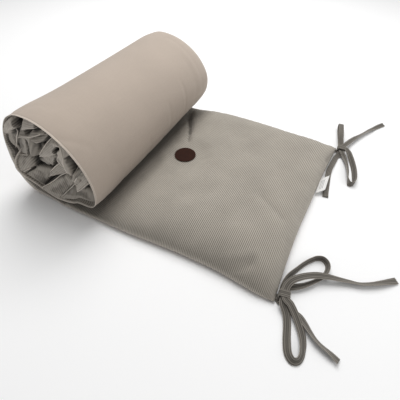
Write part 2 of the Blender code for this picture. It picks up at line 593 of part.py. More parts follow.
def build_loop_tie(name, corner, route, material):
    """The tie that runs from the corner into its loop and back through the knot to its free end."""
    points, faces = band(*route_frames(corner, route), TIE_THICKNESS)
    return add_mesh(name, points, faces, material)


def build_wrap_tie(name, corner, route, place, material):
    """The tie that wraps the knot: its strip, the wrap, and the short root from the corner to the wrap."""
    tie = build_loop_tie(name, corner, route, material)
    wrap_points, wrap_faces = band(*wrap_frames(corner, place), WRAP_THICKNESS, closed=True)
    wrap = add_mesh(name + "_wrap", wrap_points, wrap_faces, material)
    root = add_mesh(name + "_root", *root_strip(corner, place), material)
    return join_bodies(tie, [wrap, root])


def root_strip(corner, place):
    """Points and faces of a tie's root: a thin tongue from the corner into the wrap's lower wall."""
    bottom = WRAP_HEIGHT - WRAP_OPENING[1] - (WRAP_THICKNESS + ROOT_THICKNESS) / 2
    start = np.array(corner) + np.array(ROOT_START)
    stop = np.array((corner[0] + place[0] * MM, corner[1] + place[1] * MM))
    run = (stop - start) / np.linalg.norm(stop - start)
    side = np.array((-run[1], run[0]))
    corners = []
    for point, half in zip((start, stop), ROOT_HALF_WIDTHS):
        corners.append(point - side * half)
        corners.append(point + side * half)
    low = [(x, y, bottom) for x, y in corners]
    high = [(x, y, bottom + ROOT_THICKNESS) for x, y in corners]
    faces = ((0, 1, 3, 2), (4, 6, 7, 5), (0, 2, 6, 4), (1, 5, 7, 3), (0, 4, 5, 1), (2, 3, 7, 6))
    return low + high, faces


def build():
    """The whole bumper."""
    clear_scene()
    corduroy = fabric("corduroy", (0.33, 0.295, 0.26), 0.95)
    leather = fabric("leather", (0.055, 0.024, 0.014), 0.55)
    white_tape = fabric("white_tape", (0.86, 0.86, 0.85), 0.6)
    build_strip(corduroy)
    build_patch(leather)
    build_label(white_tape)
    build_loop_tie("near_loop_tie", NEAR_CORNER, NEAR_LOOP_TIE, corduroy)
    build_wrap_tie("near_wrap_tie", NEAR_CORNER, NEAR_WRAP_TIE, NEAR_WRAP, corduroy)
    build_loop_tie("far_loop_tie", FAR_CORNER, FAR_LOOP_TIE, corduroy)
    build_wrap_tie("far_wrap_tie", FAR_CORNER, FAR_WRAP_TIE, FAR_WRAP, corduroy)


build()
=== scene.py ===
"""Looks of the crib bumper: a filled strip of corduroy and plain cotton, rolled up from one end, with a
leather patch, a care label and four corduroy ties knotted into two bows. Metres, +Z up, in the same
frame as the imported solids."""
import math

import bpy
import numpy as np
from mathutils import Matrix


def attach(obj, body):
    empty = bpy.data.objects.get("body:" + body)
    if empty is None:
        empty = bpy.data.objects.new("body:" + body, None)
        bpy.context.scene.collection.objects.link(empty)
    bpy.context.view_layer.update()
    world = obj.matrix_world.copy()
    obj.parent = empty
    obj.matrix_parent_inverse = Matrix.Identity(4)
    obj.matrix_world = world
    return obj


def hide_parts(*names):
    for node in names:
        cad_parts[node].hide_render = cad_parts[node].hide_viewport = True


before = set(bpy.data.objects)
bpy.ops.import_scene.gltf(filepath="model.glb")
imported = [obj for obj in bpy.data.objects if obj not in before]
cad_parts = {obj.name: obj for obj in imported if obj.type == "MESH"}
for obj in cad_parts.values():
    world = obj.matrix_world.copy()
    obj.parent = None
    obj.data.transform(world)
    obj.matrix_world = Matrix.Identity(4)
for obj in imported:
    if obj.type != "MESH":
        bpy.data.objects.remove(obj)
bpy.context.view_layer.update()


# ---------------------------------------------------------------------------------------------- camera
# It stands off the near corner of the tied end and looks down along the strip to the roll, as a person
# does who bends over the table.
CAMERA_AT = (0.17061, -0.30533, 0.3193)
CAMERA_YAW = 26.85      # degrees to the left of straight ahead
CAMERA_PITCH = 48.444   # degrees below the horizon
CAMERA_ROLL = 0.602     # degrees
CAMERA_LENS = 26.2      # mm
CAMERA_SENSOR = 36.0    # mm


def camera_place(at, yaw, pitch, roll):
    """World matrix of a camera: it looks along `forward`, whose heading is yaw and whose dip is pitch,
    and right and up are turned about it by roll."""
    yaw, pitch, roll = (math.radians(angle) for angle in (yaw, pitch, roll))
    forward = np.array((-math.sin(yaw) * math.cos(pitch), math.cos(yaw) * math.cos(pitch), -math.sin(pitch)))
    level = np.array((math.cos(yaw), math.sin(yaw), 0.0))
    upright = np.cross(level, forward)
    right = level * math.cos(roll) + upright * math.sin(roll)
    up = upright * math.cos(roll) - level * math.sin(roll)
    place = np.eye(4)
    place[:3, :3] = np.stack([right, up, -forward], axis=1)
    place[:3, 3] = at
    return Matrix(place.tolist())


def in_scene(name, data):
    """A new object with this data, linked into the scene."""
    made = bpy.data.objects.new(name, data)
    bpy.context.scene.collection.objects.link(made)
    return made


camera_data = bpy.data.cameras.new("photo_camera")
camera_data.lens = CAMERA_LENS
camera_data.sensor_width = CAMERA_SENSOR
camera = in_scene("photo_camera", camera_data)
camera.matrix_world = camera_place(CAMERA_AT, CAMERA_YAW, CAMERA_PITCH, CAMERA_ROLL)
bpy.context.scene.camera = camera


# ------------------------------------------------------------------------------------------------ ties
# Four narrow strips cut along the corduroy's ribs, both raw edges folded to the middle and sewn shut, two
# at each corner of the tied end. Each pair is knotted in a bow that lies on the table.
MM = 0.001
TIE_WIDTH = 0.0084
TIE_EDGE = 0.0017           # thickness at the two folded edges
TIE_STEP = 0.0016           # between two rings of the strip's mesh
TIE_GROOVE = (0.00040, 0.085)       # depth, and half width as a share of the strip's, of the middle groove
TIE_HOLLOW = 0.28           # how much thinner the middle is, as a share of the edges' thickness
TIE_ROUNDING = 6            # 2 gives elliptic edges, more gives squarer ones
TIE_SIDE_STEP = 0.0002      # added, as the other leg, to each step round the strip in its cloth's place
TIE_EDGE_WEAR_AND_HIGHLIGHT = (0.35, 0.7)     # how pale the folded edges are painted, partly as wear and partly as highlight, and from which share of the half width on
GROOVE_SHADE = (0.55, 0.09)         # how dark the middle groove lies, and its half width as a share
STEEP_RUN = 0.2             # a strip that runs steeper than this keeps the heading that it had before
NEAR_CORNER = (0.18611, -0.15023)
FAR_CORNER = (0.19761, 0.15727)

# Routes, as rows of x, y, lift and lean: mm from the corner, height of the strip's lowest edge over the table
# in mm, and how far the strip stands up on its edge in degrees. Where that is above zero, the edge that is to
# the left of its run is the higher one.
NEAR_UPPER_LOOP = (
    (1.6, 1.2, 0.4, 0), (4.6, 6, 0.4, 0), (5.6, 12, 0.4, 0), (5, 18.6, 0.4, 2), (4.4, 26, 0.4, 34),
    (5.8, 35.7, 0.4, 56), (11.3, 47.4, 0.4, 64), (17.5, 59.2, 0.4, 67), (24.4, 69.3, 0.4, 69),
    (30.1, 75.2, 0.4, 70), (36.6, 77.5, 0.4, 70), (41.8, 74.8, 0.4, 68), (44.6, 69, 0.4, 62),
    (44, 60.6, 0.4, 56), (40.1, 51.4, 0.4, 46), (32.8, 41.8, 0.6, 40), (25, 33.4, 1.4, 28),
    (16.8, 26.6, 3.4, 8), (9.6, 21.6, 4.3, 0), (6.5, 16.2, 4.35, 0), (7.4, 10.3, 4.35, 0),
    (8.6, 4.4, 4.35, 0), (11.4, -0.8, 2.8, 0), (16.4, -2.8, 1.2, 0), (22.6, -2.6, 0.4, -4),
    (29.2, -3.8, 0.4, -12), (36.2, -8.8, 0.4, -24), (42.8, -14.8, 0.4, -36), (49.5, -19.9, 0.4, -44),
    (55.8, -23, 0.4, -46), (62, -24.9, 0.4, -44), (68.2, -27, 0.4, -34), (74.5, -29.6, 0.4, -26),
)
NEAR_LOWER_LOOP = (
    (7, 12.4, 6.45, 0), (8.3, 5.2, 6.45, 0), (9.6, -1.2, 5.6, 0), (11.5, -3.2, 4.6, 0), (15.7, -8.2, 2.8, 0),
    (18.8, -14.8, 1.4, 0), (21.2, -22.6, 0.6, 0), (23.1, -30.2, 0.4, 4), (25.1, -37.1, 0.4, 12),
    (27.3, -43.2, 0.4, 24), (30.5, -47.8, 0.4, 36), (34.6, -49.9, 0.4, 42), (38.4, -48.3, 0.4, 44),
    (40.6, -43.3, 0.4, 42), (40.5, -36, 0.4, 34), (39, -28.1, 0.6, 22), (36, -20.8, 1.4, 10),
    (32.1, -14.5, 2.6, 2), (27.2, -8.2, 4.2, 0), (21.4, -2.2, 6, 0), (16.1, 2.1, 8, 0), (10.4, 5, 8.8, 0),
    (7.4, 10.8, 8.8, 0), (6.6, 16.8, 9.6, 0), (8.9, 25.4, 11.6, 0), (16.9, 35, 12.2, 0),
    (26.1, 42.7, 11.6, 0), (36.1, 49.2, 9.8, 2), (46.7, 54, 7.2, -8), (57.6, 57.9, 4, -22),
    (70.5, 62.2, 1.2, -36), (82, 65.2, 0.4, -44), (94.3, 71.5, 0.4, -42), (107.4, 80.6, 0.4, -26),
    (120.4, 90.7, 0.4, 0),
)
FAR_BACK_LOOP = (
    (1.8, 0.2, 0.4, 0), (4.9, -0.8, 0.4, 0), (7, 2.4, 0.4, 0), (7, 9, 0.4, 0), (5.6, 18, 0.4, 0),
    (3.4, 30, 0.4, 0), (1, 42, 0.4, 0), (-1.6, 54, 0.6, 0), (-3.8, 64, 2.2, 0), (-4.9, 69.4, 4.8, 0),
    (-5.1, 70.6, 8, 0), (-4.6, 66.4, 11.4, 0), (-3.4, 57, 12.8, 0), (-1.6, 46, 12.8, 0), (0.4, 35, 11.8, 0),
    (2.2, 27.4, 9.4, 0), (4.2, 21.4, 6.4, 0), (5.3, 15.8, 4.6, 0), (6.8, 10, 4.4, 0), (7.4, 4.6, 4.35, 0),
    (7.8, -1, 4.35, 0), (8.3, -6.8, 4.35, 0), (7.2, -12.4, 2.6, 0), (5.6, -15.7, 1, 0), (3.6, -29.3, 0.4, 4),
    (2.1, -42.8, 0.4, 10), (0.9, -56.2, 0.4, 12), (1.1, -67.9, 0.4, 8), (2.3, -79.4, 0.4, 4),
    (3.7, -91.2, 0.4, 0), (4.8, -101.7, 0.4, 0), (5.8, -110.6, 0.4, 0), (7.2, -119.7, 0.4, 0),
)
FAR_FRONT_LOOP = (
    (7.6, -0.8, 8.8, 0), (13.2, 0.6, 8.7, 0), (19.6, -3.7, 6.6, 8), (25.4, -13.1, 3.4, 22),
    (31, -25.3, 0.9, 34), (35.5, -39.8, 0.4, 38), (38.4, -54.6, 0.4, 44), (39.6, -67.5, 0.4, 62),
    (38.5, -77.2, 0.4, 96), (34.6, -78.8, 0.4, 112), (31.2, -72.2, 0.4, 88), (28.7, -58.5, 0.4, 60),
    (25.9, -41.8, 0.4, 44), (21.1, -26, 0.8, 26), (15.7, -15, 3, 6), (11.8, -10.6, 6, 0), (9, -4.8, 6.5, 0),
    (8.1, 1, 6.5, 0), (9.6, 7.6, 6.9, 0), (13.2, 15, 7.4, 0), (16.8, 25.4, 6.4, 2), (20.8, 36.7, 5, -6),
    (26.2, 49.6, 3, -22), (32.5, 62.4, 1, -38), (38.6, 74.1, 0.4, -42), (45.5, 86.9, 0.4, -28),
    (52.7, 99.2, 0.4, -4), (60.1, 110.4, 0.4, 12), (67.2, 120.1, 0.4, 18),
)

# The wrap of each knot: where it stands from the corner, the heading of its axis in degrees, and where its
# root comes out of the seam, from the corner too
NEAR_WRAP = (0.0074, 0.0103, 100, (-0.0045, 0.0035))
FAR_WRAP = (0.0078, -0.001, 96, (-0.0045, -0.0035))
WRAP_HEIGHT = 0.00705
WRAP_HALF_WIDTH = 0.00595
WRAP_HALF_HEIGHT = 0.00385
WRAP_THICKNESS = 0.0015
WRAP_SQUARENESS = 6         # 2 gives an ellipse, more gives a squarer wrap
WRAP_RINGS = 96
ROOT_BOTTOM = 0.0026        # middle of the root tongue over the table
ROOT_HALF_WIDTHS = (0.0028, 0.0036)
ROOT_THICKNESS = 0.0010
ROOT_RINGS = 9

RIB_PITCH = 0.00225
CORDUROY_LIGHT = (0.520, 0.478, 0.412)
CORDUROY_DARK = (0.150, 0.132, 0.113)
# the pale that the cloth is mixed towards at its seams, edges and crests: partly wear, partly painted
# highlight
WEAR_AND_HIGHLIGHT_PALE = (0.74, 0.675, 0.60)
TIE_LIGHT = (0.205, 0.187, 0.162)       # the ties are drawn darker than the strip's corduroy
TIE_DARK = (0.052, 0.047, 0.041)
RIB_START = 0.001425        # puts a groove between two ribs at the middle of a tie


class Wire:
    """An output socket of a shader. Arithmetic on it adds Math nodes to the same shader."""

    def __init__(self, tree, socket=None):
        self.tree = tree
        self.socket = socket

    def node(self, kind, settings=None, sockets=None, output=0):
        """Add a node: its settings come first, then the values or links of its sockets."""
        made = self.tree.nodes.new(kind)
        for name, value in (settings or {}).items():
            if name == "stops":
                ramp = made.color_ramp.elements
                while len(ramp) < len(value):
                    ramp.new(0.5)
                for element, (position, colour) in zip(ramp, value):
                    element.position = position
                    element.color = (*colour, 1.0)
            else:
                setattr(made, name, value)
        for name, value in (sockets or {}).items():
            if isinstance(value, Wire):
                self.tree.links.new(value.socket, made.inputs[name])
            else:
                made.inputs[name].default_value = value
        return Wire(self.tree, made.outputs[output])

    def math(self, operation, *values):
        """A Math node on this wire and other values."""
        return self.node("ShaderNodeMath", {"operation": operation}, dict(enumerate((self, *values))))

    def mix(self, factor, first, second):
        """A colour between two colours."""
        first, second = ((*c, 1.0) if isinstance(c, tuple) else c for c in (first, second))
        return self.node("ShaderNodeMix", {"data_type": "RGBA"}, {0: factor, 6: first, 7: second}, output=2)

    def scaled(self, value):
        """A colour or a vector times a number."""
        return self.node("ShaderNodeVectorMath", {"operation": "SCALE"}, {0: self, "Scale": value})

    def __add__(self, other):
        return self.math("ADD", other)

    def __sub__(self, other):
        return self.math("SUBTRACT", other)

    def __mul__(self, other):
        return self.math("MULTIPLY", other)

    def __truediv__(self, other):
        return self.math("DIVIDE", other)

    def __pow__(self, other):
        return self.math("POWER", other)

    def __rsub__(self, other):
        return self.node("ShaderNodeMath", {"operation": "SUBTRACT"}, {0: other, 1: self})

    __radd__ = __add__
    __rmul__ = __mul__


def empty_material(name):
    """A new material, its shader node and a wire into its tree."""
    material = bpy.data.materials.new(name)
    material.use_nodes = True
    return material, material.node_tree.nodes["Principled BSDF"], Wire(material.node_tree)


def finish_material(shader, colour, roughness, normal, fixed):
    """Link what changes over the surface to the shader, and set what is the same all over it."""
    for name, wire in (("Base Color", colour), ("Roughness", roughness), ("Normal", normal)):
        wire.tree.links.new(wire.socket, shader.inputs[name])
    for name, value in fixed.items():
        shader.inputs[name].default_value = value


def cloth_place(start):
    """The cloth's own place, and how far it lies along and across the cloth, in metres."""
    place = start.node("ShaderNodeUVMap", {"uv_map": "cloth"})
    along = place.node("ShaderNodeSeparateXYZ", None, {0: place})
    return place, along, Wire(start.tree, along.socket.node.outputs[1])


def seam_value(start):
    """The value that a piece's mesh carries at every point under the name seam: up to 1, how pale the point
    is painted, as wear and on the cloth also as highlight, and below zero how dark it is painted as shade.
    """
    return start.node("ShaderNodeAttribute", {"attribute_name": "seam"}, output=2)


def relief(height, strength, distance):
    """A Bump node: the normal that a height pattern gives, at a strength from 0 to 1, where a height of 1
    stands for so many metres."""
    return height.node("ShaderNodeBump", None, {"Height": height, "Strength": strength, "Distance": distance})


def noise(place, scale, detail=2.0, along=1.0, across=1.0):
    """Smooth noise from 0 to 1 at `place`, with `scale` bumps a metre, drawn out along the direction
    whose own factor is small."""
    drawn = place.node("ShaderNodeVectorMath", {"operation": "MULTIPLY"}, {0: place, 1: (along, across, 1.0)})
    return place.node("ShaderNodeTexNoise", None, {"Vector": drawn, "Scale": scale, "Detail": detail})


def corduroy(name, dark, light):
    """Fine corduroy: rounded ribs of cut pile at every rib pitch along the cloth, with dark grooves
    between them, pile that leans to and fro, and paler pile where the seam value is above zero: partly wear
    and partly painted highlight, where the cloth is folded at a seam or stands out. Where the seam value is
    below zero the colour is darkened as painted shade."""
    material, shader, start = empty_material(name)
    place, along = cloth_place(start)[:2]
    seam = seam_value(start)
    wander = noise(place, 55.0, across=0.25)
    ribs = ((along / RIB_PITCH + wander * 0.5) * (2 * math.pi)).math("COSINE") * 0.5 + 0.5
    rib_height = ribs ** 0.7
    tufts = noise(place, 1400.0, 3.0, across=0.6)
    pile = noise(place, 26.0, 4.0)
    patches = noise(place, 7.0)
    depth = (rib_height * (0.70 + tufts * 0.55)).math("MINIMUM", 1.0)
    colour = start.mix(depth, dark, light).scaled(0.74 + pile * 0.32 + patches * 0.20)
    # paler where the seam value is above zero: partly wear, partly painted highlight
    colour = start.mix(seam.math("MAXIMUM", 0.0) * 0.70, colour, WEAR_AND_HIGHLIGHT_PALE)
    # painted shade: darker where the seam value is below zero
    colour = colour.scaled(1.0 + seam.math("MINIMUM", 0.0) * 0.85)
    finish_material(shader, colour, 0.98 - rib_height * 0.10,
                    relief(rib_height * 0.8 + tufts * 0.35, 0.55, 0.0006),
                    {"Sheen Weight": 0.35, "Sheen Roughness": 0.55, "Sheen Tint": (0.80, 0.76, 0.70, 1.0),
                     "Specular IOR Level": 0.15})
    return material


def smooth_curve(at, knots, values):
    """Smooth curve through (knots, values) read at the places `at`: cubic pieces whose slope at a knot is
    the slope between its two neighbours."""
    knots = np.asarray(knots, float)
    values = np.asarray(values, float)
    slopes = np.gradient(values, knots, axis=0)
    at = np.clip(np.asarray(at, float), knots[0], knots[-1])
    left = np.clip(np.searchsorted(knots, at, side="right") - 1, 0, len(knots) - 2)
    span = knots[left + 1] - knots[left]
    share = (at - knots[left]) / span
    if values.ndim == 2:
        share, span = share[:, None], span[:, None]
    rise = values[left + 1] - values[left]
    bend_in = slopes[left] * span - rise
    bend_out = rise - slopes[left + 1] * span
    return values[left] + share * rise + share * (1 - share) * (bend_in * (1 - share) + bend_out * share)


def held(value):
    """The value, held between 0 and 1."""
    return np.clip(value, 0, 1)


def bell(distance, width):
    """A bell: 1 at no distance, and 1 / e to the square of distance over width."""
    return np.exp(-(distance / width) ** 2)


def length_along(line):
    """How far a line has run at each of its points."""
    return np.concatenate([[0], np.cumsum(np.linalg.norm(np.diff(line, axis=0), axis=1))])


def unit(rows):
    """Directions of the same headings, each 1 long."""
    return rows / np.linalg.norm(rows, axis=1, keepdims=True)


def tube_faces(rings, sides):
    """Quads of a tube whose rings follow one another, and the number of every point and of the one beside it
    on its ring."""
    index = np.arange(rings * sides).reshape(rings, sides)
    after = np.roll(index, -1, axis=1)
    faces = np.stack([index[:-1], after[:-1], after[1:], index[1:]], axis=-1).reshape(-1, 4)
    return faces, index, after


def end_caps(faces, rings, sides):
    """The tube's quads with those that close its two ends, each from one side of the ring to the other."""
    left = np.arange(sides // 2 - 1)
    cap = np.stack([left, left + 1, sides - left - 2, sides - left - 1], axis=-1)
    return np.vstack([faces, cap[:, ::-1], cap + (rings - 1) * sides])


def outward(points, faces, place, seam):
    """The same closed surface with its faces pointing out: turned round where its volume is negative."""
    a, b, c, d = (points[faces[:, corner]] - points[0] for corner in range(4))
    volume = (a * np.cross(b, c)).sum() + (a * np.cross(c, d)).sum()
    if volume < 0:
        faces, place = faces[:, ::-1], place[:, ::-1]
    return points, faces, place, seam


def cloth_piece(name, points, faces, place, seam, materials, which=None, backs=()):
    """A smooth mesh of quads, and of hidden `backs` with more corners. `place` is the cloth's own place in
    metres at every face corner, `seam` is how pale every point is painted, up to 1, partly as wear and partly
    as highlight, or below zero how dark it is painted as shade, and `which` is each face's material."""
    mesh = bpy.data.meshes.new(name)
    mesh.from_pydata(points.tolist(), [], faces.tolist() + list(backs))
    place = np.vstack([place.reshape(-1, 2), np.zeros((sum(len(back) for back in backs), 2))])
    for material in materials:
        mesh.materials.append(material)
    layer = mesh.uv_layers.new(name="cloth")
    layer.data.foreach_set("uv", np.ascontiguousarray(place, np.float32).ravel())
    attribute = mesh.attributes.new("seam", "FLOAT", "POINT")
    attribute.data.foreach_set("value", np.ascontiguousarray(seam, np.float32).ravel())
    if which is not None:
        mesh.polygons.foreach_set("material_index", np.ascontiguousarray(which, np.int32))
    mesh.shade_smooth()
    piece = in_scene(name, mesh)
    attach(piece, "root")
    return piece


# Places across a folded strip, from one rolled edge to the other
ACROSS_HALF = (0.08, 0.17, 0.38, 0.62, 0.82, 0.93, 0.985, 1)
ACROSS_STRIP = np.array([-place for place in ACROSS_HALF[::-1]] + [0, *ACROSS_HALF])


def strip_surface(middle, across, normal, half, edge, closed=False):
    """A folded strip carried along `middle`. Its half thickness at a place w across, from -1 to 1, is
    half the edge's thickness, less the hollow between the rolled edges, which fades as w squared, times
    the root of 1 minus w to the sixth for their rounding. The upper face has a narrow groove in the
    middle, where the two folded edges meet."""
    wide = np.concatenate([ACROSS_STRIP, ACROSS_STRIP[-2:0:-1]])
    upper = np.arange(len(wide)) < len(ACROSS_STRIP)
    thick = edge / 2 * (1 - TIE_HOLLOW * (1 - wide ** 2)) * np.sqrt(held(1 - wide ** TIE_ROUNDING))
    high = np.where(upper, thick - TIE_GROOVE[0] * bell(wide, TIE_GROOVE[1]), -thick)
    half = np.broadcast_to(half, len(middle))[:, None, None]
    points = middle[:, None] + across[:, None] * wide[:, None] * half + normal[:, None] * high[:, None]
    rings, sides = points.shape[:2]
    ring = np.arange(rings if closed else rings - 1)[:, None, None] + np.array((0, 0, 1, 1))
    side = np.arange(sides)[:, None] + np.array((0, 1, 1, 0))
    corner_rings, corner_sides = np.broadcast_arrays(ring, side)
    faces = (corner_rings % rings) * sides + corner_sides % sides
    length = length_along(np.vstack([middle, middle[:1]]))
    round_steps = np.hypot(np.diff(wide, append=wide[0]) * TIE_WIDTH / 2, TIE_SIDE_STEP)
    girth = np.concatenate([[0], np.cumsum(round_steps)])
    place = np.stack([girth[corner_sides] + RIB_START, length[corner_rings]], axis=-1)
    faces, place = faces.reshape(-1, 4), place.reshape(-1, 4, 2)
    if not closed:
        count = len(ACROSS_STRIP) - 1
        left = np.arange(count)
        cap = np.stack([left, left + 1, (sides - left - 1) % sides, (sides - left) % sides], axis=-1)
        faces = np.vstack([faces, cap[:, ::-1], cap + (rings - 1) * sides])
        cap_place = np.stack([girth[cap] + RIB_START, 0 * cap], axis=-1)
        place = np.vstack([place, cap_place[:, ::-1], cap_place])
    # painted on the tie: paler rolled edges, partly wear and partly highlight, and painted shade in the
    # middle groove
    wear_highlight_and_shade = TIE_EDGE_WEAR_AND_HIGHLIGHT[0] * held((np.abs(wide) - TIE_EDGE_WEAR_AND_HIGHLIGHT[1]) / (1 - TIE_EDGE_WEAR_AND_HIGHLIGHT[1])) ** 2
    wear_highlight_and_shade = wear_highlight_and_shade - GROOVE_SHADE[0] * bell(wide, GROOVE_SHADE[1]) * upper
    seam = np.broadcast_to(wear_highlight_and_shade, (rings, sides))
    return points.reshape(-1, 3), faces, place, seam.reshape(-1)


def tie_frames(corner, route):
    """Middle line, width direction and face direction of a tie, read at even steps from a smooth curve
    through its route's points. The strip is level where its lean is zero."""
    x, y, lift, lean = np.array(route, float).T * np.array((MM, MM, MM, math.pi / 180))[:, None]
    rise = lift + TIE_WIDTH / 2 * np.abs(np.sin(lean)) + TIE_EDGE / 2 * np.abs(np.cos(lean))
    knots = np.stack([corner[0] + x, corner[1] + y, rise, lean], axis=-1)
    chord = length_along(knots[:, :3])
    line = smooth_curve(np.linspace(0, chord[-1], int(chord[-1] / TIE_STEP)), chord, knots)
    middle = line[:, :3]
    tangent = unit(np.gradient(middle, axis=0))
    level = np.cross((0.0, 0.0, 1.0), tangent)
    for row in range(1, len(level)):
        if np.linalg.norm(level[row]) < STEEP_RUN:
            level[row] = level[row - 1]
        if level[row] @ level[row - 1] < 0:
            level[row] = -level[row]
    level = unit(level)
    upright = np.cross(tangent, level)
    upright *= np.sign(upright[0, 2])
    angle = line[:, 3][:, None]
    across = level * np.cos(angle) + upright * np.sin(angle)
    return middle, across, np.cross(tangent, across)


def wrap_frames(corner, place):
    """Ring of the knot's wrap: a rounded rectangle that stands across its own axis, with the strip's
    width along that axis."""
    x, y = corner[0] + place[0], corner[1] + place[1]
    turned = math.radians(place[2])
    axis = np.array((math.cos(turned), math.sin(turned), 0.0))
    side = np.array((-axis[1], axis[0], 0.0))
    angle = np.linspace(0, 2 * math.pi, WRAP_RINGS, endpoint=False)
    cosine, sine = np.cos(angle), np.sin(angle)
    bulge = (np.abs(cosine) ** WRAP_SQUARENESS + np.abs(sine) ** WRAP_SQUARENESS) ** (-1 / WRAP_SQUARENESS)
    line = np.array((x, y, WRAP_HEIGHT)) + (WRAP_HALF_WIDTH * cosine * bulge)[:, None] * side
    line[:, 2] += WRAP_HALF_HEIGHT * sine * bulge
    tangent = unit(np.roll(line, -1, axis=0) - np.roll(line, 1, axis=0))
    across = np.repeat(axis[None, :], len(line), axis=0)
    return line, across, np.cross(tangent, across)


def joined(*surfaces):
    """Several surfaces as one: their points, faces, places and seams, one after another."""
    points, faces, place, seam = zip(*surfaces)
    count = np.cumsum([0] + [len(own) for own in points])
    faces = np.vstack([own + start for own, start in zip(faces, count)])
    return np.vstack(points), faces, np.vstack(place), np.concatenate(seam)


def knot_surface(corner, place):
    """The wrap of a knot, and the short root that runs to it out of the corner's seam."""
    wrap = strip_surface(*wrap_frames(corner, place), TIE_WIDTH / 2, WRAP_THICKNESS, closed=True)
    stop = np.array((corner[0] + place[0], corner[1] + place[1], ROOT_BOTTOM))
    start = np.array((corner[0] + place[3][0], corner[1] + place[3][1], ROOT_BOTTOM))
    run = (stop - start) / np.linalg.norm(stop - start)
    share = np.linspace(0, 1, ROOT_RINGS)[:, None]
    middle = start * (1 - share) + stop * share
    across, normal = np.array((-run[1], run[0], 0.0)) + 0 * middle, np.array((0.0, 0.0, 1.0)) + 0 * middle
    half = ROOT_HALF_WIDTHS[0] + (ROOT_HALF_WIDTHS[1] - ROOT_HALF_WIDTHS[0]) * share[:, 0]
    return joined(outward(*wrap), outward(*strip_surface(middle, across, normal, half, ROOT_THICKNESS)))


corduroy_cloth = corduroy("corduroy", CORDUROY_DARK, CORDUROY_LIGHT)
tie_cloth = corduroy("tie_corduroy", TIE_DARK, TIE_LIGHT)
TIES = (
    # name, corner, route, node that it replaces, wrap that goes with it
    ("near_tie_upper_loop", NEAR_CORNER, NEAR_UPPER_LOOP, "near_loop_tie", None),
    ("near_tie_lower_loop", NEAR_CORNER, NEAR_LOWER_LOOP, "near_wrap_tie", NEAR_WRAP),
    ("far_tie_back_loop", FAR_CORNER, FAR_BACK_LOOP, "far_loop_tie", None),
    ("far_tie_front_loop", FAR_CORNER, FAR_FRONT_LOOP, "far_wrap_tie", FAR_WRAP),
)
for tie_name, tie_corner, tie_route, tie_node, tie_wrap in TIES:
    tie_middle, tie_across, tie_normal = tie_frames(tie_corner, tie_route)
    tie_surface = strip_surface(tie_middle, tie_across, tie_normal, TIE_WIDTH / 2, TIE_EDGE)
    tie = cloth_piece(tie_name, *outward(*tie_surface), [tie_cloth])
    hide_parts(tie_node)
    if tie_wrap:
        knot = cloth_piece(tie_name + "_knot", *knot_surface(tie_corner, tie_wrap), [tie_cloth])


# ------------------------------------------------------------------------------------- the filled strip
# Two long panels, corduroy and plain cotton, sewn right sides together, turned and filled with wadding.
# It is rolled up from its untied end, corduroy inwards, so that the cotton is the roll's skin.
WIDTH = 300 * MM
TIED_END_X = 313.7 * MM         # in the layout of the tables, as are all x and y below
AXIS_X, AXIS_Z = 8.2 * MM, 70.2 * MM     # of the roll
CENTRE = np.array((128.09 * MM, 148.73 * MM, 0.0))      # the frame's origin in that layout
TURNS_TO_AXIS = 3.5             # after which the roll's section would have shrunk to nothing
LAST_ANGLE = 1050               # where the strip ends
LAYER_GAP = 1.0 * MM            # air between two turns
SEAM_HEIGHT = 4.5 * MM          # of the flat part's long seams over the outer skin's line
ROLL_SEAM_HEIGHT = 3.0 * MM
INNER_END_SEAM_HEIGHT = 5.0 * MM
SEAM_BLEND = 24 * MM            # over which the long seams' height runs into that of the two ends
SEAM_CHANGE_ANGLE = 60          # by which it has run into that of the roll
EDGE_FULLNESS = 62 * MM         # from the long seams to the full height, on the flat part
END_FULLNESS = 48 * MM          # and from the two ends
ROLL_FULLNESS = 24 * MM         # the same at the roll's two ends
PLEAT_FULLNESS = 40 * MM        # and what a full pleat adds to it
SKIN_TURN = 34 * MM             # from a seam, over which the outer skin turns up to it
EDGE_POWER = 2.2                # 2 gives an elliptic edge, more gives a squarer one
FULL_LAYER = 21 * MM            # thickness where no turn follows inside
CORE_SHARE, CORE_ADDED = 0.32, 1.5 * MM         # the least room left round the axis
BOW_REACH, BOW_POWER = 90 * MM, 1.5     # how far in the bow of the tied end's seam is felt
OUTER_END_REACH = (95 * MM, 300 * MM)   # how far in the near and far end's shape is felt, in the outer turn
INNER_END_REACH = (75 * MM, 75 * MM)    # and in the inner turns
INNER_TURNS_FROM, INNER_TURNS_OVER = 285, 60
LYING_ANGLES = (285, 375)       # between these the roll lies on the flat part

# Roll section: angle in degrees from straight down, clockwise from the near side; radius in mm
ROLL_SECTION = (
    # angle, radius
    (0, 70.6), (25, 78.2), (45, 96.5), (65, 92.5), (90, 83.0), (120, 80.0), (150, 81.5), (180, 81.2),
    (210, 79.5), (240, 79.5), (270, 85.0), (295, 92.5), (313, 95.5), (335, 79.0),
)
FLAT_HEIGHT = (
    # along, height of the top at mid width, in mm
    (8.2, 18.6), (30, 16.8), (50, 15.6), (62, 16.2), (76, 20.5), (96, 27.0), (125, 31.5), (170, 33.0),
    (230, 32.5), (280, 31.5), (322, 30.5),
)
FLAT_EDGES = (
    # along, near and far seam's distance from their straight lines, in mm
    (8.2, -5.5, 1.0), (30, -5.5, 2.5), (60, -4.5, 3.5), (120, -3.0, 4.0), (165, 0.0, 3.5), (206, 1.5, 2.5),
    (247, 1.0, 0.5), (272, -1.5, 0.5), (292, -3.5, 1.5), (308, -3.2, 4.0), (322, -1.5, 6.5),
)
ROLL_EDGES = (
    # angle, how far the near and the far seam push out of the roll, in mm
    (0, -5.5, 1.0), (30, -3.5, 0.5), (60, -3.0, 0.5), (110, 0.0, 1.0), (300, -0.5, 0.0), (400, -5.0, 2.0),
    (455, -4.5, 2.0), (472, 16.0, -16.0), (495, 28.0, -28.0), (1050, 32.0, -32.0),
)
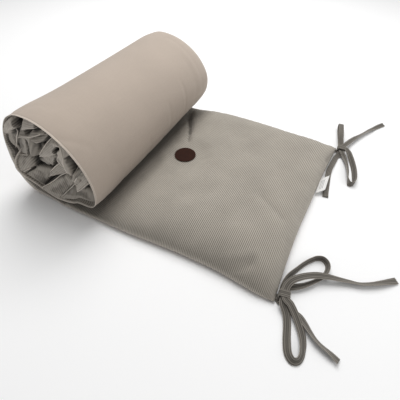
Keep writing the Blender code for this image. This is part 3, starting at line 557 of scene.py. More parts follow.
ROLL_END_SHAPE = (
    # angle, radial shift at the near and at the far end, in mm
    (0, 0.0, 0.0), (60, 0.0, 0.0), (95, 1.0, 1.5), (130, 3.0, 3.5), (155, 4.5, 2.5), (180, 2.0, -1.5),
    (210, 0.0, 0.0), (240, 0.0, 6.0), (265, 0.0, 9.0), (290, 0.5, 3.0), (310, 1.5, -6.5), (328, -1.0, -2.0),
    (345, 7.0, 3.0), (360, 11.0, 6.0), (375, 11.5, 6.0), (390, 6.0, 4.0), (405, 0.0, 2.0), (425, 3.5, 4.0),
    (445, 4.0, 6.0), (480, 2.5, 7.0), (510, 6.0, 7.0), (530, 10.0, 6.0), (552, 14.0, 6.0), (573, 9.0, 6.0),
    (592, 3.0, 6.0), (608, -5.0, 5.0), (628, -9.0, 4.0), (650, -8.0, 3.0), (672, -4.0, 2.0), (690, 0.0, 4.0),
    (710, 11.0, 9.0), (735, 16.0, 10.0), (755, 15.0, 9.0), (780, 9.0, 8.0), (810, 7.0, 7.0), (850, 8.0, 6.0),
    (895, 13.0, 6.0), (930, 8.0, 4.0), (965, 3.0, 2.0), (1000, 1.0, 1.0), (1050, 0.0, 0.0),
)
END_SEAM = (
    # across, shift and height of the tied end's seam, in mm
    (0.0, 0.5, 3.2), (0.08, -0.4, 3.2), (0.23, -1.2, 3.2), (0.38, -0.6, 3.2), (0.52, 1.8, 3.2),
    (0.67, 4.2, 3.4), (0.77, 6.0, 3.8), (0.86, 8.4, 4.6), (0.94, 10.6, 5.4), (1.0, 12.0, 6.0),
)
TOP_FOLDS = (
    # x0, y0, x1, y1, half width, depth of the flat top's troughs (below zero for a ridge), in mm
    (116, 160, 107, 180, 2.8, 2.2),
    (107, 180, 97, 202, 3.2, 4.2),
    (97, 202, 85, 226, 3.8, 6.0),
    (85, 226, 70, 252, 4.4, 7.5),
    (70, 252, 50, 290, 5.5, 8.5),
    (96, 176, 76, 214, 9.0, -2.0),
    (112, 214, 98, 262, 12.0, -1.0),
    (256, -2, 276, 18, 5.0, 3.0),
    (250, 14, 276, 30, 5.0, -1.6),
    (254, 118, 288, 97, 9.0, 2.4),
    (316, 250, 326, 296, 4.5, 3.6),
    (292, 246, 308, 292, 9.0, 1.7),
    (69, -2, 84, 2, 5.0, -1.8),
    (78, 20, 86, 120, 9.0, 2.0),
    (150, 60, 190, 96, 14.0, 1.6),
    (210, 196, 236, 262, 13.0, 1.5),
    (170, 190, 176, 246, 12.0, 1.4),
    (140, 20, 152, 70, 11.0, 1.6),
    (200, 12, 216, 58, 10.0, 1.5),
    (286, 150, 312, 190, 11.0, 1.3),
)
PATCH_PUCKERS = (
    # heading from the patch in degrees, length and depth in mm of the puckers that run out from it
    (8, 26, 1.0), (47, 34, 1.3), (79, 22, 0.9), (139, 24, 1.1), (168, 34, 1.4),
    (201, 26, 1.0), (233, 38, 1.5), (262, 24, 1.0), (291, 32, 1.2), (327, 30, 1.3),
)
FOLDS_GROW, FOLDS_FROM = 1.6, 0.3       # how the top's folds deepen with the strip's fullness
DENTS = 46              # shallow dents and swellings of the wadding, strewn over the flat top
DENT_SEED = 11
DENT_PLACES = ((80, 315), (5, 295))     # mm, least and most x and y
DENT_RADII = (9.0, 24.0)        # mm
DENT_DEPTHS = (-0.75, 0.75)     # mm
PUCKER_REACH = (15, 17)         # mm from the patch's middle: a pucker's start, and what its length adds to
PUCKER_WIDTHS = (1.8, 5.0)      # mm, half width at its start and at its end
SEAM_PUCKER = 0.9 * MM          # the sewn edges draw the cloth into small puckers
SEAM_PUCKER_LENGTH = 13.0 * MM
SEAM_PUCKER_WANDER = ((1.7, 0.37, 0.0), (0.9, 0.19, 2.0))       # how far the phase wanders, pace and start
SEAM_PUCKER_RISE = 4 * MM       # over which the puckers grow beside the seam
SEAM_PUCKER_FADE = 13 * MM      # over which they fade further in
END_PUCKER_START = 50 * MM      # sets the puckers of the tied end against those of the long seams
RIM_PUCKERS = 0.45              # share of the puckers at the roll's rims
ROLL_RADIUS = 75 * MM           # mean radius, along which those are spaced
CREASE_FADE = 9.0               # degrees over which a crease of the skin ends
OUTER_TURN_TO = 350             # the angle up to which the skin shows
ROLL_CREASES = (
    # angle and y at both ends, half width and depth in mm of the faint creases of the roll's skin
    (232, 262, 318, 250, 3.5, 0.7), (250, 225, 322, 214, 3.0, 0.6), (190, 281, 300, 276, 3.0, 0.6),
    (262, 178, 326, 171, 4.0, 0.5), (284, 120, 330, 126, 4.0, 0.5), (262, 44, 322, 66, 4.5, 0.5),
    (150, 8, 176, 30, 3.0, 0.5), (214, 6, 236, 26, 3.0, 0.5), (292, 8, 318, 34, 3.5, 0.6),
)
TOPSTITCH = 2.4 * MM            # distance of the line of stitches from the roll's rims
TOPSTITCH_RISE = (0.5 * MM, 0.6 * MM)           # height and half width of the line
TWO_LAYERS = 1.2 * MM           # the strip is never thinner than its two layers of cloth,
TWO_LAYERS_OVER = 2 * MM        # but for this far from its seams, where they close
ROLL_PLEATS = (
    # angle, depth share, lean: the corduroy is gathered in at these places of the roll's ends
    (6, 0.30, 0.2), (24, 0.45, -0.5), (41, 0.30, 0.6), (56, 0.50, -0.4), (72, 0.35, 0.5), (86, 0.50, -0.3),
)
PLEAT_GIRTH = 0.85              # share of the outer radius at which the pleats are spaced
PLEAT_WIDTH = (5.5 * MM, 0.12)  # half width at the roll's end, and what each metre further in adds
PLEAT_SHARPNESS = 1.4
PLEAT_STRENGTH = 1.5
PLEAT_FADE = 45 * MM
SLACK_FROM, SLACK_OVER = 92, 12         # the angles from which the corduroy lies slack at the roll's ends
SLACK_REACH = 45 * MM
# The slack corduroy of the inner turns, buckled into folds that fill the roll's ends. Corners are x and z
# from the roll's axis, and the depth is that of the fold's middle behind the seam's line, all in mm. The
# falls are how much deeper it gets for each mm to the right and up, and the wales' heading is in degrees.
SLACK_FOLDS = (
    # corners, depth, fall to the right, fall up, bulge, wales, how pale it is painted as highlight
    (((-68, 37), (-54, 52), (-42, 46), (-50, 37)), -2.5, -0.15, 0.30, 3.0, 20, 0.50),
    (((-56, 50), (-42, 66), (-33, 62), (-30, 50), (-44, 43)), -1.0, 0.10, 0.35, 3.5, 50, 0.50),
    (((-62, 42), (-33, 47), (-58, 2), (-80, -2)), 5.0, 0.22, -0.12, 2.0, 84, 0.0),
    (((-38, 43), (-20, 39), (-30, 6), (-63, 3)), 3.5, -0.22, 0.16, 3.0, 66, 0.0),
    (((-18, 63), (-10, 68), (16, 68), (13, 60), (-20, 51)), 4.5, 0.0, 0.70, 2.0, 4, 0.30),
    (((-36, 45), (5, 57), (4, 46), (-20, 37), (-38, 33)), 7.0, 0.0, 0.85, 2.0, 12, 0.0),
    (((-29, 31), (13, 50), (6, 40), (-14, 30)), 9.0, -0.05, 0.85, 2.0, 15, 0.0),
    (((-30, 27), (-5, 34), (-12, 12), (-10, -12), (-36, -9)), 12.5, -0.28, 0.12, 2.0, 86, 0.0),
    (((-13, 14), (-3, 28), (9, 41), (22, 49), (30, 42), (22, 27), (4, 18)), 6.0, 0.12, 0.45, 5.0, 40, 0.25),
    (((-13, 14), (4, 19), (21, 26), (12, 6), (-13, -15)), 7.0, 0.28, -0.35, 2.0, 70, 0.0),
    (((24, 47), (31, 44), (31, 26), (26, -2), (24, 14)), 2.0, 0.70, 0.0, 1.0, 80, 0.60),
    (((22, 29), (25, 27), (24, 2), (18, 8), (16, 18)), 5.0, 0.60, 0.0, 1.0, 100, 0.0),
    (((31, 0), (47, 10), (44, 3), (30, -14), (26, -12)), 6.0, 0.20, 0.35, 3.0, 60, 0.15),
    (((32, -9), (44, 3), (30, -28), (27, -22)), 3.0, -0.45, 0.0, 2.0, 75, 0.0),
    (((44, 5), (56, -5), (46, -15), (32, -28), (32, -18)), 4.5, 0.35, 0.20, 3.5, 50, 0.20),
    (((-18, -68), (5, -43), (17, -31), (38, -28), (60, -41), (62, -50), (4, -70)),
     6.0, 0.08, 0.30, 3.0, 95, 0.0),
    (((-64, 2), (-36, 6), (-40, -14), (-70, -31)), 2.5, 0.05, 0.10, 3.0, 50, 0.0),
    (((-70, -33), (-41, -15), (-13, -15), (-35, -47), (-51, -60)), 5.0, 0.12, 0.10, 3.0, 85, 0.0),
    (((-14, -16), (13, 10), (28, -3), (10, -12), (-20, -36), (-34, -46)), 6.0, 0.22, -0.10, 2.5, 42, 0.0),
    (((-51, -60), (-34, -47), (9, -12), (20, -25), (4, -43), (-18, -68)), 2.5, 0.16, 0.16, 3.0, 60, 0.0),
)
SHOULDER = 4.5          # width over which a fold's edge rounds off, in mm
WALL = 4.0              # how steeply a fold's side falls away
POCKET_DEPTH = 23.0     # depth of the dark pockets between the folds, in mm
SLITS = (
    # x and z from the axis at both ends, half width: deep gaps between the folds, painted with shade, in mm
    (-29, 55, -23, 45, 4.4), (3, 59, 20, 52, 2.6), (-28, 31, -35, 6, 2.2), (6, 42, -9, 24, 2.0),
    (-9, 24, -17, 9, 2.0), (-17, 9, -13, -12, 1.8), (26, 39, 14, 27, 2.2), (43, 31, 48, 20, 5.6),
    (48, 20, 53, 12, 4.4), (55, -10, 54, -24, 4.2), (54, -25, 42, -25, 3.2), (50, 4, 53, -2, 2.2),
    (-70, -35, -40, -17, 1.3), (0, 1, 13, 11, 1.6), (-36, 46, -18, 46, 1.3), (14, 60, 2, 47, 1.2),
    (-14, -15, 8, 14, 1.1), (30, 0, 31, 24, 1.2),
)
SLIT_DEPTH = 15.0
SLIT_WALL = (1.2, 0.6)  # how many half widths from its middle a slit starts, and how steep its walls are
SLIT_DARK = (1.9, 1.1)  # painted shade in a slit's middle, and what it loses over the slit's half width
RIM_SHOULDER = 3.0      # width over which the folds round off at the turn around them, in mm
RIM_DEPTH = 30.0
RIM_INSETS = (1.6, 3.8)         # mm from that turn to the folds, where it is the second and the outer one
ROOM_TO_ANGLE = 455     # the last angle whose seam the folds follow
FOLD_CREASES = (
    # heading in degrees, wave length and depth in mm of the small creases that run over all folds
    (12, 13.0, 0.55), (68, 9.0, 0.40), (118, 17.0, 0.60), (151, 6.5, 0.25),
)
CREASE_BEND = 1.5       # mm by which the creases wander
CREASE_WANDER = (7.0, 9.0)      # mm, how long the waves are in which they do, across and up
CREASE_SHARPNESS = 0.7
FOLD_GRIDS = (131, 81)  # points along each side of the near and of the far end's grid
# Sewn edges that lie on the folds, as points x and z from the roll's axis in mm
SEWN_EDGES = (
    ((-63, 1), (-50, 3), (-36, 5)),
    ((-39, 43), (-46, 33), (-53, 23), (-63, 5)),
    ((-34, 37), (-26, 38), (-18, 39), (2, 47)),
    ((-51, -60), (-34, -46), (-20, -36), (9, -12), (26, -2)),
    ((-18, -68), (5, -43), (17, -30), (30, -14), (44, 3)),
    ((-14, -16), (-1, -3), (13, 9)),
    ((-12, 14), (-3, 27), (8, 40), (21, 48), (30, 43)),
    ((30, 43), (29, 26), (26, 12), (25, 0)),
    ((22, 28), (16, 17), (18, 8), (22, 2)),
    ((43, 36), (33, 19), (33, 6), (30, -7)),
    ((32, -28), (46, -15), (57, -4)),
    ((30, -14), (27, -20), (29, -30)),
    ((-70, -33), (-56, -24), (-41, -15)),
)
EDGE_RADIUS = 0.65
EDGE_STEP = 2.0
EDGE_SIDES = 8
EDGE_SMOOTHED = 5       # points of a sewn edge over which its depth is averaged
EDGE_BESIDE = 1.4       # mm to either side at which the folds under a sewn edge are felt for
EDGE_TAPER = (0.12, 0.3)        # how far into its rounding a sewn edge starts, and how blunt it is
HOLLOW_REACH = 9 / 130          # share of the folds' grid, to each side, that a place is set against
HOLLOW_DEPTH = 2.5      # mm in front of its surroundings at which a place is fully painted pale, partly as wear and partly as highlight
HOLLOW_FROM = 0.20      # this much of it in front is painted neither pale nor with shade
HOLLOW_RANGE = (-1.05, 0.4)     # darkest painted shade, and palest paint of wear and highlight
PALE_FROM, PALE_RANGE = -0.4, (0, 0.7)          # folds marked pale gain painted highlight from this value up, and by so much at most
# palest paint, and how strongly a slit's painted shade darkens a place
PALEST, SLIT_SHADE = 0.9, 2.05
PATCH_AT = (119 * MM, 146 * MM)
DIMPLE_SEAT = 22 * MM
DIMPLE_REACH = 46 * MM
SEAT_HEIGHT = 27.5 * MM
COTTON_THREAD = 0.75 * MM       # two threads of the weave, one over and one under
COTTON_LIGHT = (0.530, 0.450, 0.380)
COTTON_DARK = (0.390, 0.322, 0.266)
SHADED_ROLLED_IN_LIGHT = (0.365, 0.335, 0.292)      # painted shade: a darker copy of the corduroy, with less contrast, for the rolled-in turns and the roll's ends
SHADED_ROLLED_IN_DARK = (0.175, 0.155, 0.135)
# the sewn edges on the folds, drawn far paler than the cotton: painted highlight on their rounded edges
HIGHLIT_EDGE_LIGHT = (0.86, 0.79, 0.70)
HIGHLIT_EDGE_DARK = (0.66, 0.60, 0.52)
# How pale the seams are painted, partly as wear and partly as highlight on their folded edges: strength, and
# half width of the line
FLAT_SEAM_WEAR_AND_HIGHLIGHT = (0.3, 1.0 * MM)
RIM_WEAR_AND_HIGHLIGHT = (1.0, 0.9 * MM)
STITCH_WEAR_AND_HIGHLIGHT = (0.8, 0.5 * MM)
SECOND_TURN_WEAR_AND_HIGHLIGHT = (1.4, 1.6 * MM)              # from SECOND_TURN_FROM degrees on
SECOND_TURN_FROM = 300
# Painted shade: how dark the cloth is drawn where it lies in shade
BAND_SHADE = 0.85       # of the roll's lower rim, up to the angle 100 and fading until 115
BAND_TO, BAND_OVER = 115, 15
BAND_WIDTH, BAND_START = 1.6 * MM, 0.3          # it starts at this share of its width from the edge
TROUGH_SHADE = (0.75, 1.8 * MM, 3.5 * MM)       # strength, depth from which it starts and over which it grows
TROUGH_SHADE_FROM_EDGE = 6 * MM
# Painted shade of the top beside and under the roll, where the roll's shadow falls: strength, x where it
# starts, and how far on it is full
ROLL_SHADOW_SHADES = ((0.60, 104 * MM, 46 * MM), (0.14, 155 * MM, 60 * MM))
NEAR_SHADE = (0.20, 55 * MM, 1.2)       # painted shade of the near side, which slopes away from the lamps: strength, reach from the near seam and sharpness
SHADE_FROM_EDGE = 3 * MM


def plain_cotton(name, dark, light):
    """Plain cotton: a fine over-and-under weave of two thread directions, with thicker threads here and
    there, soft shading and paler folds at the seams, painted partly as wear and partly as highlight."""
    material, shader, start = empty_material(name)
    place, along, across = cloth_place(start)
    seam = seam_value(start)
    thread = 2 * math.pi / COTTON_THREAD
    weave = (along * thread).math("SINE") * (across * thread).math("SINE") * 0.5 + 0.5
    slubs = noise(place, 900.0, 2.0, across=0.06) * 0.5 + noise(place, 900.0, 2.0, along=0.06) * 0.5
    soft = noise(place, 14.0, 3.0)
    fibre = noise(place, 2600.0)
    tone = weave * 0.35 + slubs * 0.45 + fibre * 0.20
    colour = start.mix(tone, dark, light).scaled(0.92 + soft * 0.16)
    # paler towards the seams: partly wear, partly painted highlight
    colour = start.mix(seam * 0.70, colour, WEAR_AND_HIGHLIGHT_PALE)
    creases = noise(place, 120.0, 3.0, across=0.15)
    finish_material(shader, colour, 0.93 - weave * 0.06,
                    relief(weave * 0.4 + slubs * 0.4 + creases * 0.9, 0.35, 0.0005),
                    {"Sheen Weight": 0.18, "Sheen Roughness": 0.6, "Specular IOR Level": 0.2})
    return material


def table_curve(at, table, *columns):
    """Smooth curves through some of a table's columns, read where its first column has the values `at`."""
    rows = np.array(table, float)
    return smooth_curve(at, rows[:, 0], rows[:, columns[0]] if len(columns) == 1 else rows[:, columns])


def eased(share):
    """A smooth step: three times the share squared, less twice its cube."""
    return share * share * (3 - 2 * share)


def section_radius(angle):
    """Distance from the roll's axis to the outer skin: the roll's section, shrinking evenly to its axis."""
    rows = np.array(ROLL_SECTION)
    turned = np.vstack([rows[-3:] - (360, 0), rows, rows[:3] + (360, 0)])
    full = table_curve(np.mod(angle, 360), turned, 1) * MM
    return full * (1 - np.asarray(angle, float) / (360 * TURNS_TO_AXIS))


def roll_point(angle, radius):
    """Point (x, z) of the roll's section, never under the table."""
    turned = np.radians(angle)
    x = AXIS_X - radius * np.sin(turned)
    return np.stack([x, np.maximum(AXIS_Z - radius * np.cos(turned), 0.0)], axis=-1)


def inner_radius(angle):
    """Distance from the roll's axis to the inner skin: the next turn's outer skin and a little air, or a
    full layer where no turn follows."""
    core = np.maximum(section_radius(angle) * CORE_SHARE + CORE_ADDED, section_radius(angle) - FULL_LAYER)
    return np.where(angle + 360 > LAST_ANGLE, core, section_radius(angle + 360) + LAYER_GAP)


def rounded(distance, reach):
    """Share of the full height at a distance from a seam: a round edge that ends at `reach`."""
    share = held(distance / reach)
    return (1 - (1 - share) ** EDGE_POWER) ** (1 / EDGE_POWER)


def turned_up(distance):
    """Share of the seam's height that the outer skin has at a distance from the seam."""
    return held(1 - distance / SKIN_TURN) ** 2


def nearest_on(x, y, start, stop):
    """How far along a straight line, as a share of it, it is nearest to each place, and how near."""
    run = np.subtract(stop, start)
    share = held(((x - start[0]) * run[0] + (y - start[1]) * run[1]) / (run @ run))
    return share, np.hypot(x - start[0] - share * run[0], y - start[1] - share * run[1])


def fold_depth(x, y):
    """Depth of the flat top's folds, and that of its troughs alone. Each is a trough or ridge whose depth
    falls off across it as a bell, and so are the puckers round the patch, which start at its rim and fade
    with their length. The dents are round bells, strewn by a seeded generator."""
    troughs_depth, ridges = np.zeros_like(x), np.zeros_like(x)
    troughs = [row[:4] + (row[4], row[4], row[5], row[5]) for row in TOP_FOLDS]
    for heading, length, deep in PATCH_PUCKERS:
        run = np.array((math.cos(math.radians(heading)), math.sin(math.radians(heading))))
        reach = (PUCKER_REACH[0], PUCKER_REACH[1] + length)
        start, stop = (np.array(PATCH_AT) / MM + run * away for away in reach)
        troughs.append((*start, *stop, *PUCKER_WIDTHS, deep, 0.0))
    for x0, y0, x1, y1, first_width, last_width, first_depth, last_depth in troughs:
        share, away = nearest_on(x, y, np.array((x0, y0)) * MM, np.array((x1, y1)) * MM)
        width = (first_width + (last_width - first_width) * share) * MM
        trough = (first_depth + (last_depth - first_depth) * share) * MM * bell(away, width)
        troughs_depth = np.maximum(troughs_depth, trough)
        ridges = ridges + np.minimum(trough, 0)
    strewn = np.random.default_rng(DENT_SEED)
    dents = np.stack([strewn.uniform(*limits, DENTS) for limits in (*DENT_PLACES, DENT_RADII, DENT_DEPTHS)])
    depth = troughs_depth + ridges
    for dent_x, dent_y, radius, deep in dents.T * MM:
        depth = depth + deep * bell(np.hypot(x - dent_x, y - dent_y), radius)
    return depth, troughs_depth


def seam_puckers(along, distance):
    """How far the cloth is drawn in beside a seam: uneven waves along it that fade within 20 mm. Their
    phase wanders with two slower waves."""
    phase = 2 * math.pi * along / SEAM_PUCKER_LENGTH
    wander = sum(by * np.sin(phase * pace + start) for by, pace, start in SEAM_PUCKER_WANDER)
    wave = 0.5 + 0.5 * np.sin(phase + wander)
    faded = held(distance / SEAM_PUCKER_RISE) * np.exp(-(distance / SEAM_PUCKER_FADE) ** 1.5)
    return SEAM_PUCKER * wave ** 2 * faded


def roll_creases(angle, y):
    """Depth of the faint creases of the roll's skin at winding angles and distances y along the roll, and
    of the small puckers beside its two rims."""
    to_rim = np.clip(np.minimum(y, WIDTH - y), 0, None)
    depth = seam_puckers(np.radians(angle)[:, None] * ROLL_RADIUS, to_rim) * RIM_PUCKERS
    for start_angle, start_y, stop_angle, stop_y, half_width, deep in ROLL_CREASES:
        share = held((angle - start_angle) / (stop_angle - start_angle))[:, None]
        away = np.abs(y - (start_y + (stop_y - start_y) * share) * MM)
        past = np.clip(np.maximum(start_angle - angle, angle - stop_angle), 0, None)[:, None]
        depth = depth + deep * MM * bell(away, half_width * MM) * bell(past, CREASE_FADE)
    return np.where(angle[:, None] < OUTER_TURN_TO, depth, 0)


def dimpled(x, y, height):
    """Top height with the dimple in which the patch is sewn down: level at its seat, smooth outside."""
    away = np.hypot(x - PATCH_AT[0], y - PATCH_AT[1])
    share = held((away - DIMPLE_SEAT) / (DIMPLE_REACH - DIMPLE_SEAT))
    return SEAT_HEIGHT + (height - SEAT_HEIGHT) * eased(share)


def end_shape(angle, from_near, from_far):
    """How far the turns stand out of the roll's even section: the table's shift at either end, fading
    with the square of the distance from it."""
    shape = table_curve(angle, ROLL_END_SHAPE, 1, 2) * MM
    inner_turn = held((angle - INNER_TURNS_FROM) / INNER_TURNS_OVER)
    shift = 0
    for end, distance in enumerate((from_near, from_far)):
        reach = OUTER_END_REACH[end] + (INNER_END_REACH[end] - OUTER_END_REACH[end]) * inner_turn
        shift = shift + shape[:, end][:, None] * held(1 - distance / reach[:, None]) ** 2
    return shift


def pleats(angle, distance):
    """How far the corduroy is gathered in, from 0 to 1, at a winding angle and a distance from the roll's
    end: each pleat is a sharp trough that leans to one side as it runs in, and fades with its length."""
    gathered = 0
    girth = section_radius(angle)[:, None] * PLEAT_GIRTH
    for middle, share, lean in ROLL_PLEATS:
        along = np.radians(angle - middle)[:, None] * girth - lean * distance
        width = PLEAT_WIDTH[0] + PLEAT_WIDTH[1] * distance
        trough = held(1 - np.abs(along) / width) ** PLEAT_SHARPNESS
        gathered = np.maximum(gathered, share * PLEAT_STRENGTH * trough * np.exp(-distance / PLEAT_FADE))
    return held(gathered)


def room_under_roll(outer, angle, x):
    """Height that the flat part's top may reach at `x`: a little under the turn that lies on it."""
    over = (angle >= LYING_ANGLES[0]) & (angle <= LYING_ANGLES[1])
    limit = np.full(x.shape, np.inf)
    for place in range(x.shape[1]):
        over_x, over_z = outer[over, place, 0][::-1], outer[over, place, 2][::-1]
        limit[:, place] = np.interp(x[:, place], over_x, over_z - LAYER_GAP, left=np.inf, right=np.inf)
    limit[angle >= 0] = np.inf
    return limit


# Distances from a seam at which the mesh has a row of points, in mm
NEAR_SEAM = (0, 0.4, 0.8, 1.3, 1.9, 2.4, 2.9, 3.4, 4.2, 5.6, 7.4, 9.5, 12, 14.8, 17.8, 21, 24.5, 28.3, 32.5,
             37, 42, 47.5, 53.5)
MIDDLE_COLUMNS = (0.0565, 0.2435, 73)           # first and last column between those rows, and their number
FLAT_ROWS = np.concatenate([(0, 0.6, 1.4, 2.4, 3.6, 5.2, 7.0, 9.2), np.arange(11.8, 304.5, 2.6)]) * MM
ROLL_ROWS = np.concatenate([np.arange(0, 360, 2.25), np.arange(360, 471, 3.0), np.arange(474, 1051, 8.0)])


def seam_fullness(angle, from_edge, from_end):
    """Share of its full height that the inner skin has at its distances from the seams: round edges that
    reach further in at the pleats, and smooth steps where the corduroy lies slack."""
    flat = (angle < 0)[:, None]
    gathered = np.where(flat, 0, pleats(np.maximum(angle, 0), from_edge))
    reach = np.where(flat, EDGE_FULLNESS, ROLL_FULLNESS + PLEAT_FULLNESS * gathered)
    slack = held((angle - SLACK_FROM) / SLACK_OVER)[:, None]
    fullness = rounded(from_edge, reach) * (1 - slack) + eased(held(from_edge / SLACK_REACH)) * slack
    return fullness * rounded(from_end, END_FULLNESS)


def strip_wear_and_shade(angle, x, from_near, from_edge, from_end, troughs):
    """How pale the strip is painted, partly as wear and partly as highlight, or below zero how dark it is
    painted as shade: bells along the roll's rims and stitches, with a band of painted shade at its lower
    rim, and on the flat part a faint bell along the seams, less the painted shade of the troughs, of the
    top that lies under the roll in its shadow and of the near side."""
    rim, stitch = (share * bell(from_edge - at, width)
                   for (share, width), at in ((RIM_WEAR_AND_HIGHLIGHT, 0), (STITCH_WEAR_AND_HIGHLIGHT, TOPSTITCH)))
    inner_turn = SECOND_TURN_WEAR_AND_HIGHLIGHT[0] * bell(from_edge, SECOND_TURN_WEAR_AND_HIGHLIGHT[1])
    light = np.where((angle > SECOND_TURN_FROM)[:, None], inner_turn, rim + stitch)
    band = held((BAND_TO - angle) / BAND_OVER)[:, None]
    light = light - BAND_SHADE * band * held(from_edge / BAND_WIDTH - BAND_START)
    strength, shade_from, shade_over = TROUGH_SHADE
    shade = strength * held((troughs - shade_from) / shade_over)
    shade = shade * held(from_edge / TROUGH_SHADE_FROM_EDGE)
    # painted shadow of the roll on the top beside and under it
    pressed = sum(share * held((start - x) / over) for share, start, over in ROLL_SHADOW_SHADES)
    near = NEAR_SHADE[0] * held(1 - from_near / NEAR_SHADE[1]) ** NEAR_SHADE[2]
    shade = np.maximum(shade, np.maximum(pressed, near)) * held(from_edge / SHADE_FROM_EDGE)
    flat_light = FLAT_SEAM_WEAR_AND_HIGHLIGHT[0] * bell(np.minimum(from_edge, from_end), FLAT_SEAM_WEAR_AND_HIGHLIGHT[1])
    return np.where((angle < 0)[:, None], flat_light - shade, light)


def strip_skins():
    """Both skins of the strip as grids of points, rows by columns, which meet at all four seams, with the
    places of the columns and the painted wear, highlight and shade at every point. The outer skin turns up
    to the seam's height beside the seams, and the inner skin rises from there by its fullness to the
    layer's full height, less the folds. Both stand in or out with the roll's ends."""
    angle = np.concatenate([np.full(len(FLAT_ROWS), -1.0), ROLL_ROWS])
    flat, on_roll = (angle < 0)[:, None], np.maximum(angle, 0)
    flat_x = TIED_END_X - FLAT_ROWS
    flat_top = table_curve(flat_x / MM, FLAT_HEIGHT, 1) * MM
    outer = np.vstack([np.stack([flat_x, 0 * flat_x], -1), roll_point(ROLL_ROWS, section_radius(ROLL_ROWS))])
    inner = np.vstack([np.stack([flat_x, flat_top], -1), roll_point(ROLL_ROWS, inner_radius(ROLL_ROWS))])
    edges = np.vstack([table_curve(flat_x / MM, FLAT_EDGES, 1, 2), table_curve(ROLL_ROWS, ROLL_EDGES, 1, 2)])
    near, far = edges[:, 0][:, None] * MM, WIDTH + edges[:, 1][:, None] * MM
    seam_side = np.array(NEAR_SEAM) * MM
    columns = np.concatenate([seam_side, np.linspace(*MIDDLE_COLUMNS), WIDTH - seam_side[::-1]])
    share = (columns / WIDTH)[None, :]
    y = near + (far - near) * share
    from_edge = np.minimum(share, 1 - share) * WIDTH
    along = length_along(outer)
    from_end = np.minimum(along, along[-1] - along)[:, None]
    seam = SEAM_HEIGHT + (ROLL_SEAM_HEIGHT - SEAM_HEIGHT) * held(angle / SEAM_CHANGE_ANGLE)[:, None]
    bow, tied = table_curve(share[0], END_SEAM, 1, 2).T * MM
    to_tied = held(1 - along / SEAM_BLEND)[:, None]
    to_inner = held(1 - (along[-1] - along) / SEAM_BLEND)[:, None]
    seam = (seam * (1 - to_tied) + tied * to_tied) * (1 - to_inner) + INNER_END_SEAM_HEIGHT * to_inner
    fullness = seam_fullness(angle, from_edge, from_end)
    up = 1 - (1 - turned_up(from_edge)) * (1 - turned_up(from_end))
    inward = inner - outer
    height = np.linalg.norm(inward, axis=1)[:, None]
    inward = inward / height
    from_sides = (share * WIDTH, (1 - share) * WIDTH)
    shift = np.where(flat, 0, end_shape(on_roll, *from_sides))
    followed = ~flat & (angle + 360 <= LAST_ANGLE)[:, None]
    next_shift = np.where(followed, end_shape(on_roll + 360, *from_sides), 0)
    stitch_line = TOPSTITCH_RISE[0] * bell(from_edge - TOPSTITCH, TOPSTITCH_RISE[1])
    creases = roll_creases(on_roll, np.broadcast_to(y, shift.shape))
    outer_rise = seam * up - shift + np.where(flat, 0, stitch_line + creases)
    seam_rise = seam - shift
    inner_rise = seam_rise + (height - next_shift - seam_rise) * fullness
    thinnest = outer_rise + TWO_LAYERS * held(np.minimum(from_edge, from_end) / TWO_LAYERS_OVER)
    inner_rise = np.maximum(inner_rise, thinnest)
    x = outer[:, 0][:, None] + bow * held(1 - along / BOW_REACH)[:, None] ** BOW_POWER
    level = (along <= TIED_END_X - AXIS_X)[:, None]
    edge_puckers = seam_puckers(along[:, None], from_edge) + seam_puckers(y + END_PUCKER_START, from_end)
    folds, troughs = fold_depth(x, y)
    dropped = folds * held(fullness * FOLDS_GROW - FOLDS_FROM) + edge_puckers
    shaped = dimpled(x, y, inner_rise - dropped)
    inner_rise = np.where(level, np.maximum(shaped, thinnest), inner_rise)
    grids = []
    for rise in (outer_rise, inner_rise):
        grid_x = x + inward[:, 0][:, None] * rise
        grids.append(np.stack([grid_x, y, outer[:, 1][:, None] + inward[:, 1][:, None] * rise], axis=-1))
    outer_grid, inner_grid = grids
    room = room_under_roll(outer_grid, angle, inner_grid[..., 0])
    inner_grid[..., 2] = np.minimum(inner_grid[..., 2], room)
    return outer_grid, inner_grid, columns, strip_wear_and_shade(angle, x, from_sides[0], from_edge, from_end, troughs)


def outline(end, heading):
    """Radius in mm of the room that the slack folds fill at a roll's end, and how far its seam pushes
    out, at a heading in degrees round the axis: that of the turn which lies there."""
    heading = np.mod(heading, 360)
    values = []
    for angle, inset in zip((heading + 360, heading), RIM_INSETS):
        shape = table_curve(angle, ROLL_END_SHAPE, end + 1)
        push = table_curve(np.minimum(angle, ROOM_TO_ANGLE), ROLL_EDGES, end + 1)
        values.append((section_radius(angle) / MM + shape - inset, push * (-1, 1)[end]))
    share = held((heading - SLACK_FROM) / SLACK_OVER)
    return [inner * (1 - share) + outer * share for inner, outer in zip(*values)]


